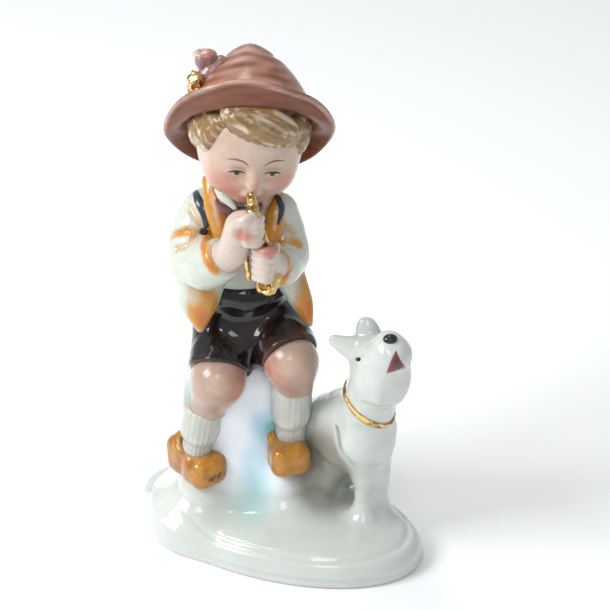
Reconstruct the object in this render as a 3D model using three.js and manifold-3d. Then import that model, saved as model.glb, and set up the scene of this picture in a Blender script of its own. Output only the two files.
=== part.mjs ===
// Glazed porcelain figurine: a boy in a felt hat sits on a boulder and plays a pipe to a howling terrier.
// It is modelled as the castings and hand-made pieces that are luted together with slip before firing.
// Units are millimetres, +Z is up, the boy faces -Y, and the origin is the centre of the base's foot.
import * as THREE from "three";
import { mergeVertices } from "three/addons/utils/BufferGeometryUtils.js";
import Module from "manifold-3d";

const wasm = await Module();
wasm.setup();

// ---- Driving dimensions ----
const SEAM = 0.3; // slip seam between two pieces
const CRUMB = 0.03; // the shortest edge that a cut may leave
const WALL = 2.6; // wall of a slip-cast hollow piece
const VENT_BORE = 3; // hole that lets air out of a hollow casting in the kiln

const BASE_LENGTH = 80.5;
const BASE_WIDTH = 45;
const BASE_TURN = THREE.MathUtils.degToRad(-24.5); // the oval's long axis against the boy's shoulders
const RIM_HEIGHT = 6;
const DOME_HEIGHT = 11;
const FOOT_WIDTH = 4; // width of the unglazed foot ring
const FOOT_RECESS = 0.9;

const SEAT_HEIGHT = 53; // top of the boulder above the shelf
const SHORTS_RISE = 15; // seat to waist
const TORSO_RISE = 29; // waist to the bottom of the neck
const NECK_LENGTH = 6;
const NECK_RADIUS = 5;
const SKULL_RADIUS = 13.2;
const HAIR_THICKNESS = 1.4;
const JAW_DROP = 6.4; // centre of the cheeks below the centre of the skull

const THIGH_REACH = 13.5; // hip to knee, forwards
const CALF_LENGTH = 22; // knee to ankle
const KNEE_RADIUS = 6.9;
const SOCK_RADIUS = 4.4;
const SHOE_LENGTH = 16.5;
const SHOE_WIDTH = 9.6;
const SHOE_HEIGHT = 9.2;

const SLEEVE_RADIUS = 6.6;
const SHOULDER_SPREAD = 18.5; // distance between the two shoulder centres
const PIPE_LENGTH = 27.5;
const PIPE_RADIUS = 1.9;
const BELL_RADIUS = 3.1;
const DRONE_RADIUS = 0.95;
const UPPER_HAND = 0.37; // share of the pipe's length from the lips to each hand
const LOWER_HAND = 0.72;

const HAT_TILT = THREE.MathUtils.degToRad(-40); // the hat leans back off the forehead
const HAT_HEIGHT = 21.8;
const HAT_WALL = 1.9;
const BRIM_WIDTH = 3.8; // from the foot of the crown to the rim
const BRIM_CURL = 5.8; // the brim turns up this far in front and down this far behind

const CHEST_RISE = 27.7; // the dog's chest above its front paws
const DOG_NECK_RADIUS = 6;
const DOG_HEAD_RADIUS = 7.2;
const FORELEG_RADIUS = 2.9;
const COLLAR_RADIUS = 0.75;

// ---- Colours of the glaze and the overglaze paints ----
const GLAZE = 0xd9dcd6;
const SKIN = 0xd9b9a8;
const CLOTH_WHITE = 0xd6d8cc;
const OCHRE = 0xc98f45;
const BLACK_BROWN = 0x2b2624;
const FELT = 0x8a5743;
const STRAW = 0xa58a5f;
const GOLD = 0xc9a24a;
const MAROON = 0x6d3f45;
const MAUVE = 0xa8868c;
const RED = 0x8c4242;

const v = (x, y, z) => new THREE.Vector3(x, y, z);

// ---- Solids from three.js geometry ----
function solid(geometry) {
  const plain = geometry.index ? geometry.toNonIndexed() : geometry.clone();
  plain.deleteAttribute("normal");
  plain.deleteAttribute("uv");
  const merged = mergeVertices(plain, 1e-4);
  const make = (triVerts) =>
    new wasm.Manifold(
      new wasm.Mesh({ numProp: 3, vertProperties: merged.attributes.position.array, triVerts }),
    );
  const triVerts = new Uint32Array(merged.index.array);
  const made = make(triVerts);
  if (made.volume() > 0) return made;
  for (let i = 0; i < triVerts.length; i += 3) {
    [triVerts[i + 1], triVerts[i + 2]] = [triVerts[i + 2], triVerts[i + 1]];
  }
  return make(triVerts);
}

// Joins the ends of every edge shorter than CRUMB, which a cut leaves where two surfaces nearly meet.
function withoutCrumbs(positions, triangles) {
  const home = Array.from({ length: positions.length / 3 }, (_, i) => i);
  const find = (i) => (home[i] === i ? i : (home[i] = find(home[i])));
  const point = (i) => new THREE.Vector3().fromArray(positions, i * 3);
  for (let t = 0; t < triangles.length; t += 3) {
    for (let k = 0; k < 3; k++) {
      const [a, b] = [triangles[t + k], triangles[t + ((k + 1) % 3)]];
      if (point(a).distanceTo(point(b)) < CRUMB) home[find(a)] = find(b);
    }
  }
  const kept = new Map();
  for (let t = 0; t < triangles.length; t += 3) {
    const corners = [0, 1, 2].map((k) => find(triangles[t + k]));
    if (new Set(corners).size < 3) continue;
    const key = [...corners].sort((a, b) => a - b).join();
    if (kept.has(key)) kept.delete(key);
    else kept.set(key, corners);
  }
  return [...kept.values()].flat();
}

function geometryOf(manifold) {
  const mesh = manifold.getMesh();
  const positions = new Float32Array(mesh.numVert * 3);
  for (let i = 0; i < mesh.numVert; i++) {
    positions.set(mesh.vertProperties.subarray(i * mesh.numProp, i * mesh.numProp + 3), i * 3);
  }
  const geometry = new THREE.BufferGeometry();
  geometry.setAttribute("position", new THREE.BufferAttribute(positions, 3));
  geometry.setIndex(withoutCrumbs(positions, mesh.triVerts));
  geometry.computeVertexNormals();
  return geometry;
}

const fuse = (first, ...rest) => rest.reduce((whole, one) => whole.add(one), first);

// A cavity, which is a shape that grows by less than nothing, needs fewer facets than an outside.
const facets = (count, grow) => (grow < 0 ? Math.ceil(count * 0.6) : count);

// A round-ended body. Each station is [centre, half width, half depth]; widths lie nearest to `side`.
function limb(stations, grow = 0, { around = 10, along = 4, side = v(1, 0, 0), cap = 1 } = {}) {
  const sides = facets(around, grow);
  const path = new THREE.CatmullRomCurve3(stations.map((s) => s[0]), false, "centripetal");
  const sizes = new THREE.CatmullRomCurve3(stations.map((s) => v(s[1], s[2], 0)), false, "centripetal");
  const capRows = 2;
  const rows = [];
  for (let i = 0; i < capRows; i++) {
    const a = ((i / capRows - 1) * Math.PI) / 2;
    rows.push({ t: 0, round: Math.cos(a), push: Math.sin(a) });
  }
  for (let i = 0; i <= along; i++) rows.push({ t: i / along, round: 1, push: 0 });
  for (let i = 1; i <= capRows; i++) {
    const a = ((i / capRows) * Math.PI) / 2;
    rows.push({ t: 1, round: Math.cos(a), push: Math.sin(a) });
  }
  const profile = rows.map((row, i) => new THREE.Vector2(i % (rows.length - 1) ? 1 : 0, i));
  const geometry = new THREE.LatheGeometry(profile, sides);
  const position = geometry.getAttribute("position");
  for (let n = 0; n < position.count; n++) {
    const row = rows[n % rows.length];
    const angle = (Math.floor(n / rows.length) / sides) * Math.PI * 2;
    const size = sizes.getPoint(row.t);
    const half = [Math.max(size.x, 0.1) + grow, Math.max(size.y, 0.1) + grow];
    const end = Math.min(size.x, size.y) * cap + grow;
    const forward = path.getTangent(row.t);
    const across = side.clone().addScaledVector(forward, -side.dot(forward)).normalize();
    const other = forward.clone().cross(across);
    const point = path
      .getPoint(row.t)
      .addScaledVector(forward, row.push * end)
      .addScaledVector(across, Math.cos(angle) * half[0] * row.round)
      .addScaledVector(other, Math.sin(angle) * half[1] * row.round);
    position.setXYZ(n, point.x, point.y, point.z);
  }
  return solid(geometry);
}

// An ellipsoid with its half sizes along X, Y and Z.
function ball(centre, half, grow = 0, { around = 12, along = 7 } = {}) {
  const geometry = new THREE.SphereGeometry(1, facets(around, grow), facets(along, grow))
    .scale(half[0] + grow, half[1] + grow, half[2] + grow)
    .translate(centre.x, centre.y, centre.z);
  return solid(geometry);
}

// A round hole through a wall along Z, with its middle at `centre`.
function vent(centre) {
  return solid(
    new THREE.CylinderGeometry(VENT_BORE / 2, VENT_BORE / 2, WALL * 4, 12)
      .rotateX(Math.PI / 2)
      .translate(centre.x, centre.y, centre.z),
  );
}

// ---- The base's outline, which everything that stands on it follows ----
const RIM = BASE_LENGTH / 2;
const SQUASH = BASE_WIDTH / BASE_LENGTH;
const DOME = [
  [0, DOME_HEIGHT], [0.5, DOME_HEIGHT - 0.5], [0.78, (RIM_HEIGHT + DOME_HEIGHT) / 2],
  [0.93, RIM_HEIGHT + 0.8], [0.98, RIM_HEIGHT * 0.85],
]; // share of the radius and height of the glazed top

// Turns a lathed shape upright, squashes it to the base's oval and turns it to the base's long axis.
const oval = (geometry) => geometry.rotateX(Math.PI / 2).scale(1, SQUASH, 1).rotateZ(BASE_TURN);

// A point on the glazed top of the base.
function onBase(x, y) {
  const along = x * Math.cos(BASE_TURN) + y * Math.sin(BASE_TURN);
  const across = (y * Math.cos(BASE_TURN) - x * Math.sin(BASE_TURN)) / SQUASH;
  const share = Math.min(Math.hypot(along, across) / RIM, DOME.at(-1)[0]);
  const next = Math.max(DOME.findIndex(([edge]) => edge >= share), 1);
  const [from, to] = [DOME[next - 1], DOME[next]];
  return v(x, y, THREE.MathUtils.mapLinear(share, from[0], to[0], from[1], to[1]));
}

// ---- Skeleton: each point hangs on the one before it ----
const seat = v(-8.5, 10, SEAT_HEIGHT);
const waist = seat.clone().add(v(-0.3, 0, SHORTS_RISE));
const neck = waist.clone().add(v(1.3, -3, TORSO_RISE));
const skull = neck.clone().add(v(1, -2, NECK_LENGTH + SKULL_RADIUS - 2));
const jaw = skull.clone().add(v(0.3, -3.6, -JAW_DROP));
const mouth = jaw.clone().add(v(0.8, -9.1, -0.5));

// One entry for each side: -1 is the boy's right, at -X.
const SIDES = [
  { name: "right", sign: -1, hip: v(-5.2, -1, 7.2), kneeTurn: -2.2, drop: 12.4, calfLean: -5.2, toeTurn: 4.6 },
  { name: "left", sign: 1, hip: v(5, -1, 8), kneeTurn: 6.6, drop: 7.6, calfLean: -0.9, toeTurn: -0.6 },
];
for (const s of SIDES) {
  s.hip = seat.clone().add(s.hip);
  s.knee = s.hip.clone().add(v(s.kneeTurn, -THIGH_REACH + 1, -s.drop));
  s.ankle = s.knee.clone().add(v(s.calfLean, 3.2, -Math.sqrt(CALF_LENGTH ** 2 - s.calfLean ** 2 - 3.2 ** 2)));
  s.sole = s.ankle.clone().add(v(0, 0, -SHOE_HEIGHT));
  s.shoulder = waist.clone().add(v((s.sign * SHOULDER_SPREAD) / 2 - 0.2, -1.6, TORSO_RISE - 7));
}
const [right, left] = SIDES;
right.elbow = right.shoulder.clone().add(v(-2.4, -5.2, -11.5));
right.wrist = right.elbow.clone().add(v(6.8, -9, 6.2));
left.elbow = left.shoulder.clone().add(v(1.6, -5.2, -11));
left.wrist = left.elbow.clone().add(v(-1.4, -9.4, 4.4));
const pipeFoot = mouth.clone().add(v(3.1, -1.5, -Math.sqrt(PIPE_LENGTH ** 2 - 3.1 ** 2 - 1.5 ** 2)));
const onPipe = (share) => mouth.clone().lerp(pipeFoot, share);

// ---- Base and boulder ----
function baseShape(grow) {
  const points = [[0, -grow], [RIM - 1 + grow, -grow], [RIM - 0.2 + grow, 0.8], [RIM + grow, RIM_HEIGHT * 0.5]];
  for (const [share, z] of [...DOME].reverse()) {
    points.push([RIM * share + (share > 0.95 ? grow : 0), z + grow]);
  }
  const profile = points.map(([r, z]) => new THREE.Vector2(r, z));
  return solid(oval(new THREE.LatheGeometry(profile, facets(32, grow))));
}

function mounds(grow) {
  return SIDES.map((s) => {
    const top = s.sole.clone().add(v(0.4, -0.5, 0.4));
    const foot = v(top.x, top.y + 1, DOME_HEIGHT * 0.4);
    const middle = foot.clone().lerp(top, 0.5);
    return limb([[foot, 12.5, 10.5], [middle, 9.6, 9.2], [v(top.x, top.y, top.z - 1.4), 6.4, 8]], grow, {
      around: 12, along: 2, cap: 0.25,
    });
  });
}

function basePlinth(grow) {
  return fuse(baseShape(grow), ...mounds(grow));
}

function hollowBase() {
  const recessRadius = RIM - 1 - FOOT_WIDTH;
  const recess = solid(oval(new THREE.CylinderGeometry(recessRadius, recessRadius, FOOT_RECESS * 2, 32)));
  const floor = FOOT_RECESS + WALL;
  const below = solid(new THREE.BoxGeometry(BASE_LENGTH * 2, BASE_LENGTH * 2, floor * 2));
  const cavity = baseShape(-WALL).subtract(below);
  return basePlinth(0).subtract(recess).subtract(cavity).subtract(vent(v(0, 0, 0)));
}

function rockShape(grow) {
  const foot = DOME_HEIGHT - 3;
  return limb(
    [
      [v(seat.x - 0.5, seat.y - 1, foot), 15.5, 12.5],
      [v(seat.x - 0.8, seat.y - 0.6, SEAT_HEIGHT * 0.42), 13.4, 11],
      [v(seat.x - 1.2, seat.y - 0.6, SEAT_HEIGHT * 0.7), 14.6, 10.6],
      [v(seat.x - 0.6, seat.y - 0.6, SEAT_HEIGHT - 3.5), 12.8, 9.8],
    ],
    grow,
    { cap: 0.4, around: 14, along: 5 },
  );
}

// ---- Dress ----
const thighRadius = KNEE_RADIUS + 1.4;

function shortsSeat(grow) {
  return limb(
    [
      [seat.clone().add(v(0, 1.2, 4)), 12.6, 9.6],
      [seat.clone().add(v(0, 0.8, 9)), 12.2, 9.4],
      [waist.clone().add(v(0, 0, -1)), 10.2, 8.4],
    ],
    grow,
    { cap: 0.35 },
  );
}

function shortsLeg(s, grow) {
  const hem = s.hip.clone().lerp(s.knee, 0.66).add(v(0, 0, 0.6));
  return limb(
    [[s.hip.clone().add(v(0, 1, -0.5)), thighRadius - 0.4, thighRadius - 0.6], [hem, thighRadius, thighRadius]],
    grow,
    { cap: 0.3, along: 4 },
  );
}

function legShape(s, grow) {
  const start = s.hip.clone().lerp(s.knee, 0.5);
  const calf = s.knee.clone().lerp(s.ankle, 0.45).add(v(0, 1.2, 0));
  const kneecap = s.knee.clone().add(v(0, 0.6, -0.6));
  const thigh = KNEE_RADIUS - 0.2;
  return fuse(
    limb([[start, thigh, thigh], [kneecap, KNEE_RADIUS, KNEE_RADIUS]], grow, { along: 1 }),
    limb(
      [
        [kneecap, KNEE_RADIUS - 0.1, KNEE_RADIUS - 0.1],
        [calf, KNEE_RADIUS - 1.3, KNEE_RADIUS - 1.1],
        [s.knee.clone().lerp(s.ankle, 0.74), SOCK_RADIUS - 0.4, SOCK_RADIUS - 0.2],
      ],
      grow,
    ),
  );
}

// The sock's foot runs down into the shoe; its cuff is a wider sleeve folded down from the top.
function sockShape(s, grow) {
  const top = s.knee.clone().lerp(s.ankle, 0.55);
  const fold = s.knee.clone().lerp(s.ankle, 0.82);
  const foot = s.ankle.clone().add(v(0, 0, -2));
  const cuff = SOCK_RADIUS + 0.4;
  return fuse(
    limb([[top, SOCK_RADIUS, SOCK_RADIUS], [foot, SOCK_RADIUS - 0.4, SOCK_RADIUS]], grow, { cap: 0.25 }),
    limb([[top, cuff, cuff], [fold, cuff, cuff]], grow, { cap: 0.2, along: 2 }),
  );
}

function shoeShape(s, grow) {
  const forward = v(s.toeTurn, -SHOE_LENGTH, 0).normalize();
  const middle = s.ankle.clone().add(v(0, 0, 0.5 - SHOE_HEIGHT / 2));
  const reach = SHOE_LENGTH - SHOE_WIDTH;
  const heel = middle.clone().addScaledVector(forward, -reach * 0.45);
  const toe = middle.clone().addScaledVector(forward, reach * 0.55).add(v(0, 0, -0.5));
  const half = SHOE_WIDTH / 2;
  const tall = SHOE_HEIGHT / 2;
  return limb([[heel, half - 0.5, tall + 0.2], [middle, half, tall + 0.6], [toe, half + 0.2, tall]], grow);
}

function torsoShape(grow) {
  return limb(
    [
      [waist.clone().add(v(0, 0.2, -1)), 9.6, 7.8],
      [waist.clone().add(v(0, -1, TORSO_RISE * 0.36)), 10.4, 8.3],
      [waist.clone().add(v(0.2, -1.8, TORSO_RISE * 0.7)), 10.6, 7.8],
      [neck.clone().add(v(-0.4, 0.4, -1.5)), 7.2, 6.2],
    ],
    grow,
    { cap: 0.5 },
  );
}

function sleeveShape(s, grow) {
  const upperArm = s.shoulder.clone().lerp(s.elbow, 0.55).add(v(s.sign * 0.6, 0.8, 0));
  const foreArm = s.elbow.clone().lerp(s.wrist, 0.5).add(v(0, 0, -0.8));
  return fuse(
    limb(
      [
        [s.shoulder, SLEEVE_RADIUS - 0.8, SLEEVE_RADIUS - 0.8],
        [upperArm, SLEEVE_RADIUS, SLEEVE_RADIUS],
        [s.elbow, SLEEVE_RADIUS, SLEEVE_RADIUS],
      ],
      grow,
      { along: 3 },
    ),
    limb(
      [
        [s.elbow, SLEEVE_RADIUS - 0.1, SLEEVE_RADIUS - 0.1],
        [foreArm, SLEEVE_RADIUS - 0.5, SLEEVE_RADIUS - 0.4],
        [s.wrist, SLEEVE_RADIUS - 2, SLEEVE_RADIUS - 1.8],
      ],
      grow,
      { along: 3 },
    ),
  );
}

// The jacket's flared corner at each hip.
function tailShape(s, grow) {
  const reach = s.sign < 0 ? 9 : 13;
  return limb(
    [
      [waist.clone().add(v(s.sign * 7.2, -3.5, 7)), 4.6, 3.2],
      [waist.clone().add(v(s.sign * 10, -3.2, -1)), 5, 2.6],
      [waist.clone().add(v(s.sign * 11.4, -4, -reach * 0.75)), 2, 1.5],
    ],
    grow,
    { cap: 0.6 },
  );
}

function lapelShape(s, grow) {
  return limb(
    [
      [neck.clone().add(v(s.sign * 6.2, 1, 1.2)), 2.3, 1.8],
      [neck.clone().add(v(s.sign * 7.2, -4.6, -3.5)), 2.6, 1.6],
      [neck.clone().add(v(s.sign * 6, -6.6, -11)), 2.1, 1.4],
    ],
    grow,
    { around: 8, along: 4 },
  );
}

function bowShape(grow) {
  const knot = neck.clone().add(v(-2.2, -6.6, 0));
  return fuse(
    limb([[knot.clone().add(v(-4.2, 0.8, 1.6)), 1.9, 1.1], [knot, 1.1, 1.1]], grow, {
      side: v(0, 0, 1), around: 9, along: 2,
    }),
    limb([[knot, 1.1, 1.1], [knot.clone().add(v(4.6, 0.4, 0.6)), 1.9, 1.1]], grow, {
      side: v(0, 0, 1), around: 9, along: 2,
    }),
    ball(knot.clone().add(v(0.2, -0.4, -0.4)), [1.7, 1.4, 1.8], grow, { around: 10, along: 6 }),
  );
}

// ---- Head and hat ----
function headShape(grow) {
  const throat = jaw.clone().add(v(0, 3, 0));
  return fuse(
    ball(skull, [SKULL_RADIUS, SKULL_RADIUS, SKULL_RADIUS], grow, { around: 16, along: 10 }),
    ball(jaw, [10.6, 9.2, 7.4], grow, { around: 16, along: 10 }),
    limb([[neck.clone().add(v(0, 0.6, -2)), NECK_RADIUS, NECK_RADIUS], [throat, NECK_RADIUS, NECK_RADIUS]], grow, {
      along: 2,
    }),
  );
}

function noseShape(grow) {
  return ball(jaw.clone().add(v(0.7, -9.2, 2.4)), [1.5, 1.4, 1.5], grow, { around: 10, along: 6 });
}

function hairCap(grow) {
  return ball(skull, Array(3).fill(SKULL_RADIUS + HAIR_THICKNESS), grow, { around: 16, along: 10 });
}

// The hair is the cap with the face and the nape cut out of it.
function hairShape() {
  const face = limb(
    [[jaw.clone().add(v(-0.8, -16, -3)), 10.4, 13.6], [jaw.clone().add(v(-0.6, 1, -3)), 10.4, 13.2]],
    0,
    { cap: 0.2, along: 2 },
  );
  const nape = ball(skull.clone().add(v(0, 2, -SKULL_RADIUS - HAIR_THICKNESS - 4)), [16, 16, 9]);
  return hairCap(0).subtract(face).subtract(nape);
}

// The hat is one thin shell of crown and brim, made upright and then tilted back over the hair.
const hatSeat = skull.clone().add(v(0, 0.64, 0.77));
const CROWN_RADIUS = SKULL_RADIUS + HAIR_THICKNESS + SEAM + HAT_WALL;
const BRIM_RADIUS = CROWN_RADIUS + BRIM_WIDTH;

// The crown's outer radius at a height above the brim.
function crownRadius(height) {
  const share = Math.min(Math.max(height / HAT_HEIGHT, 0), 1);
  return CROWN_RADIUS * Math.pow(1 - Math.pow(share, 1.7), 0.78);
}

// A point beside the crown, at an angle from its left and a height, standing off its surface.
function onCrown(degrees, height, stand) {
  const angle = THREE.MathUtils.degToRad(degrees);
  const radius = crownRadius(height) + stand;
  return v(radius * Math.cos(angle), -radius * Math.sin(angle), height)
    .applyEuler(new THREE.Euler(HAT_TILT, 0, 0))
    .add(hatSeat);
}

// The rim turns up in front, down behind, and is a little narrower behind.
function curlBrim(position) {
  for (let n = 0; n < position.count; n++) {
    const [x, y, z] = [position.getX(n), position.getY(n), position.getZ(n)];
    const radius = Math.hypot(x, y);
    const onBrim = z < HAT_HEIGHT * 0.3 ? 1 : 0;
    const flare = onBrim * THREE.MathUtils.smoothstep(radius, CROWN_RADIUS - HAT_WALL, BRIM_RADIUS);
    const front = radius > 0 ? -y / radius : 0;
    const narrow = 1 - 0.09 * flare * THREE.MathUtils.smoothstep(-front, 0, 1);
    position.setXYZ(n, x * narrow, y * narrow, z + BRIM_CURL * flare * front);
  }
}

function hatShape(grow, filled) {
  const outside = [];
  const inside = [];
  for (const share of [1, 0.96, 0.84, 0.62, 0.36, 0.12]) {
    const height = HAT_HEIGHT * share;
    outside.push([crownRadius(height) + (share < 1 ? grow : 0), height + grow * share]);
    inside.unshift([Math.max(crownRadius(height) - HAT_WALL, 0), height - HAT_WALL * share * 0.9]);
  }
  const brim = [
    [CROWN_RADIUS + 1.6, 1.7 + grow], [BRIM_RADIUS - 0.6 + grow, 1.2 + grow], [BRIM_RADIUS + grow, 0.3],
    [BRIM_RADIUS - 0.6 + grow, -0.7 - grow], [CROWN_RADIUS + 1.2, -0.6 - grow],
  ];
  const under = filled
    ? [[0, -0.6 - grow]]
    : [[CROWN_RADIUS - 0.8, 0], ...inside.filter(([r]) => r > 0), [0, HAT_HEIGHT - HAT_WALL - 1.4]];
  const profile = [...outside, ...brim, ...under].map(([r, z]) => new THREE.Vector2(r, z));
  const geometry = new THREE.LatheGeometry(profile, 20).rotateX(Math.PI / 2);
  curlBrim(geometry.getAttribute("position"));
  return solid(geometry.rotateX(HAT_TILT).translate(hatSeat.x, hatSeat.y, hatSeat.z));
}

function badgeShape(grow) {
  return limb([[onCrown(158, 7, -0.6), 2.1, 2], [onCrown(160, 11, 0.4), 2.2, 2]], grow, { along: 2 });
}

function brushShape(grow) {
  return limb([[onCrown(165, 12.6, 0.6), 1.6, 1.5], [onCrown(172, 16.2, 2.5), 2.9, 2.4]], grow, { along: 3 });
}

function featherShape(grow) {
  return limb(
    [[onCrown(168, 5, -1.6), 1.3, 1.9], [onCrown(175, 12, -0.8), 1.5, 2.2], [onCrown(184, 17, 0.3), 1.2, 1.6]],
    grow,
  );
}

// ---- Pipe and hands ----
// A length of the pipe between two shares of its way from the lips, with the radius at each.
function pipeLength(from, radiusFrom, to, radiusTo, grow) {
  const ends = [[onPipe(from), radiusFrom, radiusFrom], [onPipe(to), radiusTo, radiusTo]];
  return limb(ends, grow, { along: 2, cap: 0.35 });
}

const mouthpieceShape = (grow) => pipeLength(0.02, 1, UPPER_HAND - 0.1, PIPE_RADIUS - 0.3, grow);
const pipeShape = (grow) => pipeLength(UPPER_HAND - 0.08, PIPE_RADIUS, 0.9, PIPE_RADIUS + 0.3, grow);
const bellShape = (grow) => pipeLength(0.9, PIPE_RADIUS + 0.5, 0.98, BELL_RADIUS, grow);

function dronePipeShape(grow) {
  const top = onPipe(0.54).add(v(-3.2, 0.4, 0));
  const foot = onPipe(0.86).add(v(-2.6, 1, 0));
  return limb([[top, DRONE_RADIUS, DRONE_RADIUS], [foot, DRONE_RADIUS - 0.1, DRONE_RADIUS - 0.1]], grow, { along: 2 });
}

function upperHand(grow) {
  const palm = onPipe(UPPER_HAND).add(v(-0.2, -0.2, 0));
  const wrist = right.wrist.clone().add(v(0.4, 0, 0.4));
  return fuse(
    limb([[wrist, 3.6, 3.6], [palm.clone().add(v(-2.6, 0, -0.8)), 4.2, 4.2]], grow, { along: 2 }),
    ball(palm, [4.7, 4.3, 4.4], grow),
  );
}

function lowerHand(grow) {
  const palm = onPipe(LOWER_HAND).add(v(0.9, -0.2, 0));
  return fuse(
    limb([[left.wrist, 3.3, 3.3], [palm.clone().add(v(0.4, 0.4, 0)), 3.4, 3.8]], grow, { along: 2 }),
    ball(palm, [3.7, 4.2, 5.1], grow),
  );
}

// ---- Terrier ----
const dogFoot = onBase(25, -6);
const dogRump = onBase(12.4, 7.2).add(v(0, 0, 9.6));
const dogChest = dogFoot.clone().add(v(-1, -1.5, CHEST_RISE));
const dogNeck = dogChest.clone().add(v(0.2, -1.8, 9));
const dogHead = dogNeck.clone().add(v(0.6, -1.6, 11.4));
const muzzle = dogHead.clone().add(v(4.2, -5.4, 5));

function dogBodyShape(grow) {
  return limb(
    [
      [dogRump, 7.6, 7.4],
      [dogRump.clone().lerp(dogChest, 0.5), 7.6, 7.6],
      [dogChest.clone().add(v(0, 0, -2)), 7.2, 7],
      [dogChest.clone().add(v(0, -0.8, 4)), DOG_NECK_RADIUS + 0.3, DOG_NECK_RADIUS + 0.3],
    ],
    grow,
    { cap: 0.8, along: 5 },
  );
}

function haunchShape(sign, grow) {
  const hip = dogRump.clone().add(v(sign * 3.8 + 2.4, sign * 2.8 - 1.4, -1.5));
  const knee = hip.clone().add(v(1.6, -5.6, -3));
  const hock = hip.clone().add(v(0.6, -1, -7.5));
  const paw = knee.clone().add(v(1, -3.4, -5.6));
  return fuse(
    limb([[hip, 4.6, 6], [knee, 4, 4.6]], grow, { along: 3, around: 12 }),
    limb([[hock, 2.6, 2.6], [paw, 2.7, 2.2]], grow, { along: 2 }),
  );
}

function forelegShape(sign, grow) {
  const offset = v(sign * 3, sign * 1.4, 0);
  const shoulder = dogChest.clone().add(offset).add(v(0, 0, -6));
  const paw = onBase(dogFoot.x + offset.x + 0.4, dogFoot.y + offset.y - 1).add(v(0, 0, 2));
  return fuse(
    limb([[shoulder, FORELEG_RADIUS + 1, FORELEG_RADIUS + 1.2], [paw, FORELEG_RADIUS, FORELEG_RADIUS]], grow, {
      along: 3, around: 10,
    }),
    limb([[paw.clone().add(v(0, 0, -1.2)), 2.9, 2.4], [paw.clone().add(v(0.4, -2.6, -1.8)), 2.8, 2.2]], grow, {
      along: 2, around: 12,
    }),
  );
}

function dogHeadShape(grow) {
  return fuse(
    limb(
      [
        [dogNeck.clone().add(v(0, -0.4, 0)), DOG_NECK_RADIUS, DOG_NECK_RADIUS],
        [dogNeck.clone().lerp(dogHead, 0.5), DOG_NECK_RADIUS + 0.4, DOG_NECK_RADIUS + 0.4],
        [dogHead, DOG_HEAD_RADIUS, DOG_HEAD_RADIUS],
      ],
      grow,
      { along: 3 },
    ),
    limb([[dogHead.clone().add(v(0.6, -0.8, 0.4)), 6.6, 6.4], [muzzle, 4.6, 4.8]], grow, { along: 2 }),
  );
}

function dogMouthShape(grow) {
  return limb(
    [[muzzle.clone().add(v(0.4, -2, -2.6)), 2.2, 2.2], [muzzle.clone().add(v(1.6, -4.4, -2.2)), 1.8, 1.6]],
    grow,
    { around: 9, along: 2, cap: 0.6 },
  );
}

function dogNoseShape(grow) {
  return ball(muzzle.clone().add(v(0.8, -2.8, 4)), [2.1, 1.8, 1.3], grow, { around: 10, along: 6 });
}

function dogEarShape(sign, grow) {
  const root = dogHead.clone().add(sign < 0 ? v(-4.4, 1.6, 4) : v(0.6, 3.4, 4.6));
  const tip = root.clone().add(sign < 0 ? v(-5.2, 2, 2.2) : v(-1.2, 2.4, 5));
  return limb([[root, 2.9, 1.9], [root.clone().lerp(tip, 0.6), 2.9, 1.4], [tip, 1.7, 1]], grow, {
    around: 12, along: 4, side: sign < 0 ? v(0, 0.3, 1) : v(1, 0, 0),
  });
}

// A ring round the neck, tilted with it.
function collarShape(grow) {
  const middle = dogNeck.clone().add(v(0, -0.6, 1.2));
  return solid(
    new THREE.TorusGeometry(DOG_NECK_RADIUS + 0.45, COLLAR_RADIUS + grow, 6, 20)
      .scale(1, 1, 1.5)
      .rotateX(THREE.MathUtils.degToRad(20))
      .rotateY(THREE.MathUtils.degToRad(8))
      .translate(middle.x, middle.y, middle.z),
  );
}

// ---- Hollow castings ----
// Takes the inside out of a shape, with a vent hole through the wall below `low`.
function hollow(shape, low) {
  return shape(0).subtract(shape(-WALL)).subtract(vent(low));
}

// ---- The order of luting: each piece is bedded on the ones before it, a slip seam away ----
const figurine = new THREE.Group();
const bedded = [];

function lute(name, colour, made, outline, { metalness = 0, roughness = 0.15 } = {}) {
  const box = made.boundingBox();
  let cut = made;
  for (const other of bedded) {
    const apart = [0, 1, 2].some((k) => other.box.min[k] > box.max[k] || other.box.max[k] < box.min[k]);
    if (!apart) cut = cut.subtract(other.outline);
  }
  const body = cut.decompose().sort((a, b) => b.volume() - a.volume())[0]; // a cut can shed a sliver
  const cutter = outline();
  bedded.push({ outline: cutter, box: cutter.boundingBox() });
  const mesh = new THREE.Mesh(
    geometryOf(body),
    new THREE.MeshStandardMaterial({ color: colour, roughness, metalness }),
  );
  mesh.name = name;
  figurine.add(mesh);
}

// Lutes on a piece whose outline is its own shape, grown by the seam.
function add(name, colour, shape, finish) {
  lute(name, colour, shape(0), () => shape(SEAM), finish);
}

const GILT = { metalness: 1, roughness: 0.2 };

lute("base_plinth", GLAZE, hollowBase(), () => basePlinth(SEAM));
lute("rock_seat", GLAZE, hollow(rockShape, v(seat.x, seat.y, DOME_HEIGHT + WALL)), () => rockShape(SEAM));
for (const s of SIDES) add(`${s.name}_shoe`, OCHRE, (g) => shoeShape(s, g));
for (const s of SIDES) add(`${s.name}_sock`, CLOTH_WHITE, (g) => sockShape(s, g));
for (const s of SIDES) add(`${s.name}_leg`, SKIN, (g) => legShape(s, g));
lute("shorts_seat", BLACK_BROWN, hollow(shortsSeat, seat.clone().add(v(0, 3, 2))), () => shortsSeat(SEAM));
for (const s of SIDES) add(`${s.name}_shorts_leg`, BLACK_BROWN, (g) => shortsLeg(s, g));
lute("torso", CLOTH_WHITE, hollow(torsoShape, waist), () => torsoShape(SEAM));
add("pipe_mouthpiece", GOLD, mouthpieceShape, GILT);
add("pipe_body", GOLD, pipeShape, GILT);
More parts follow.
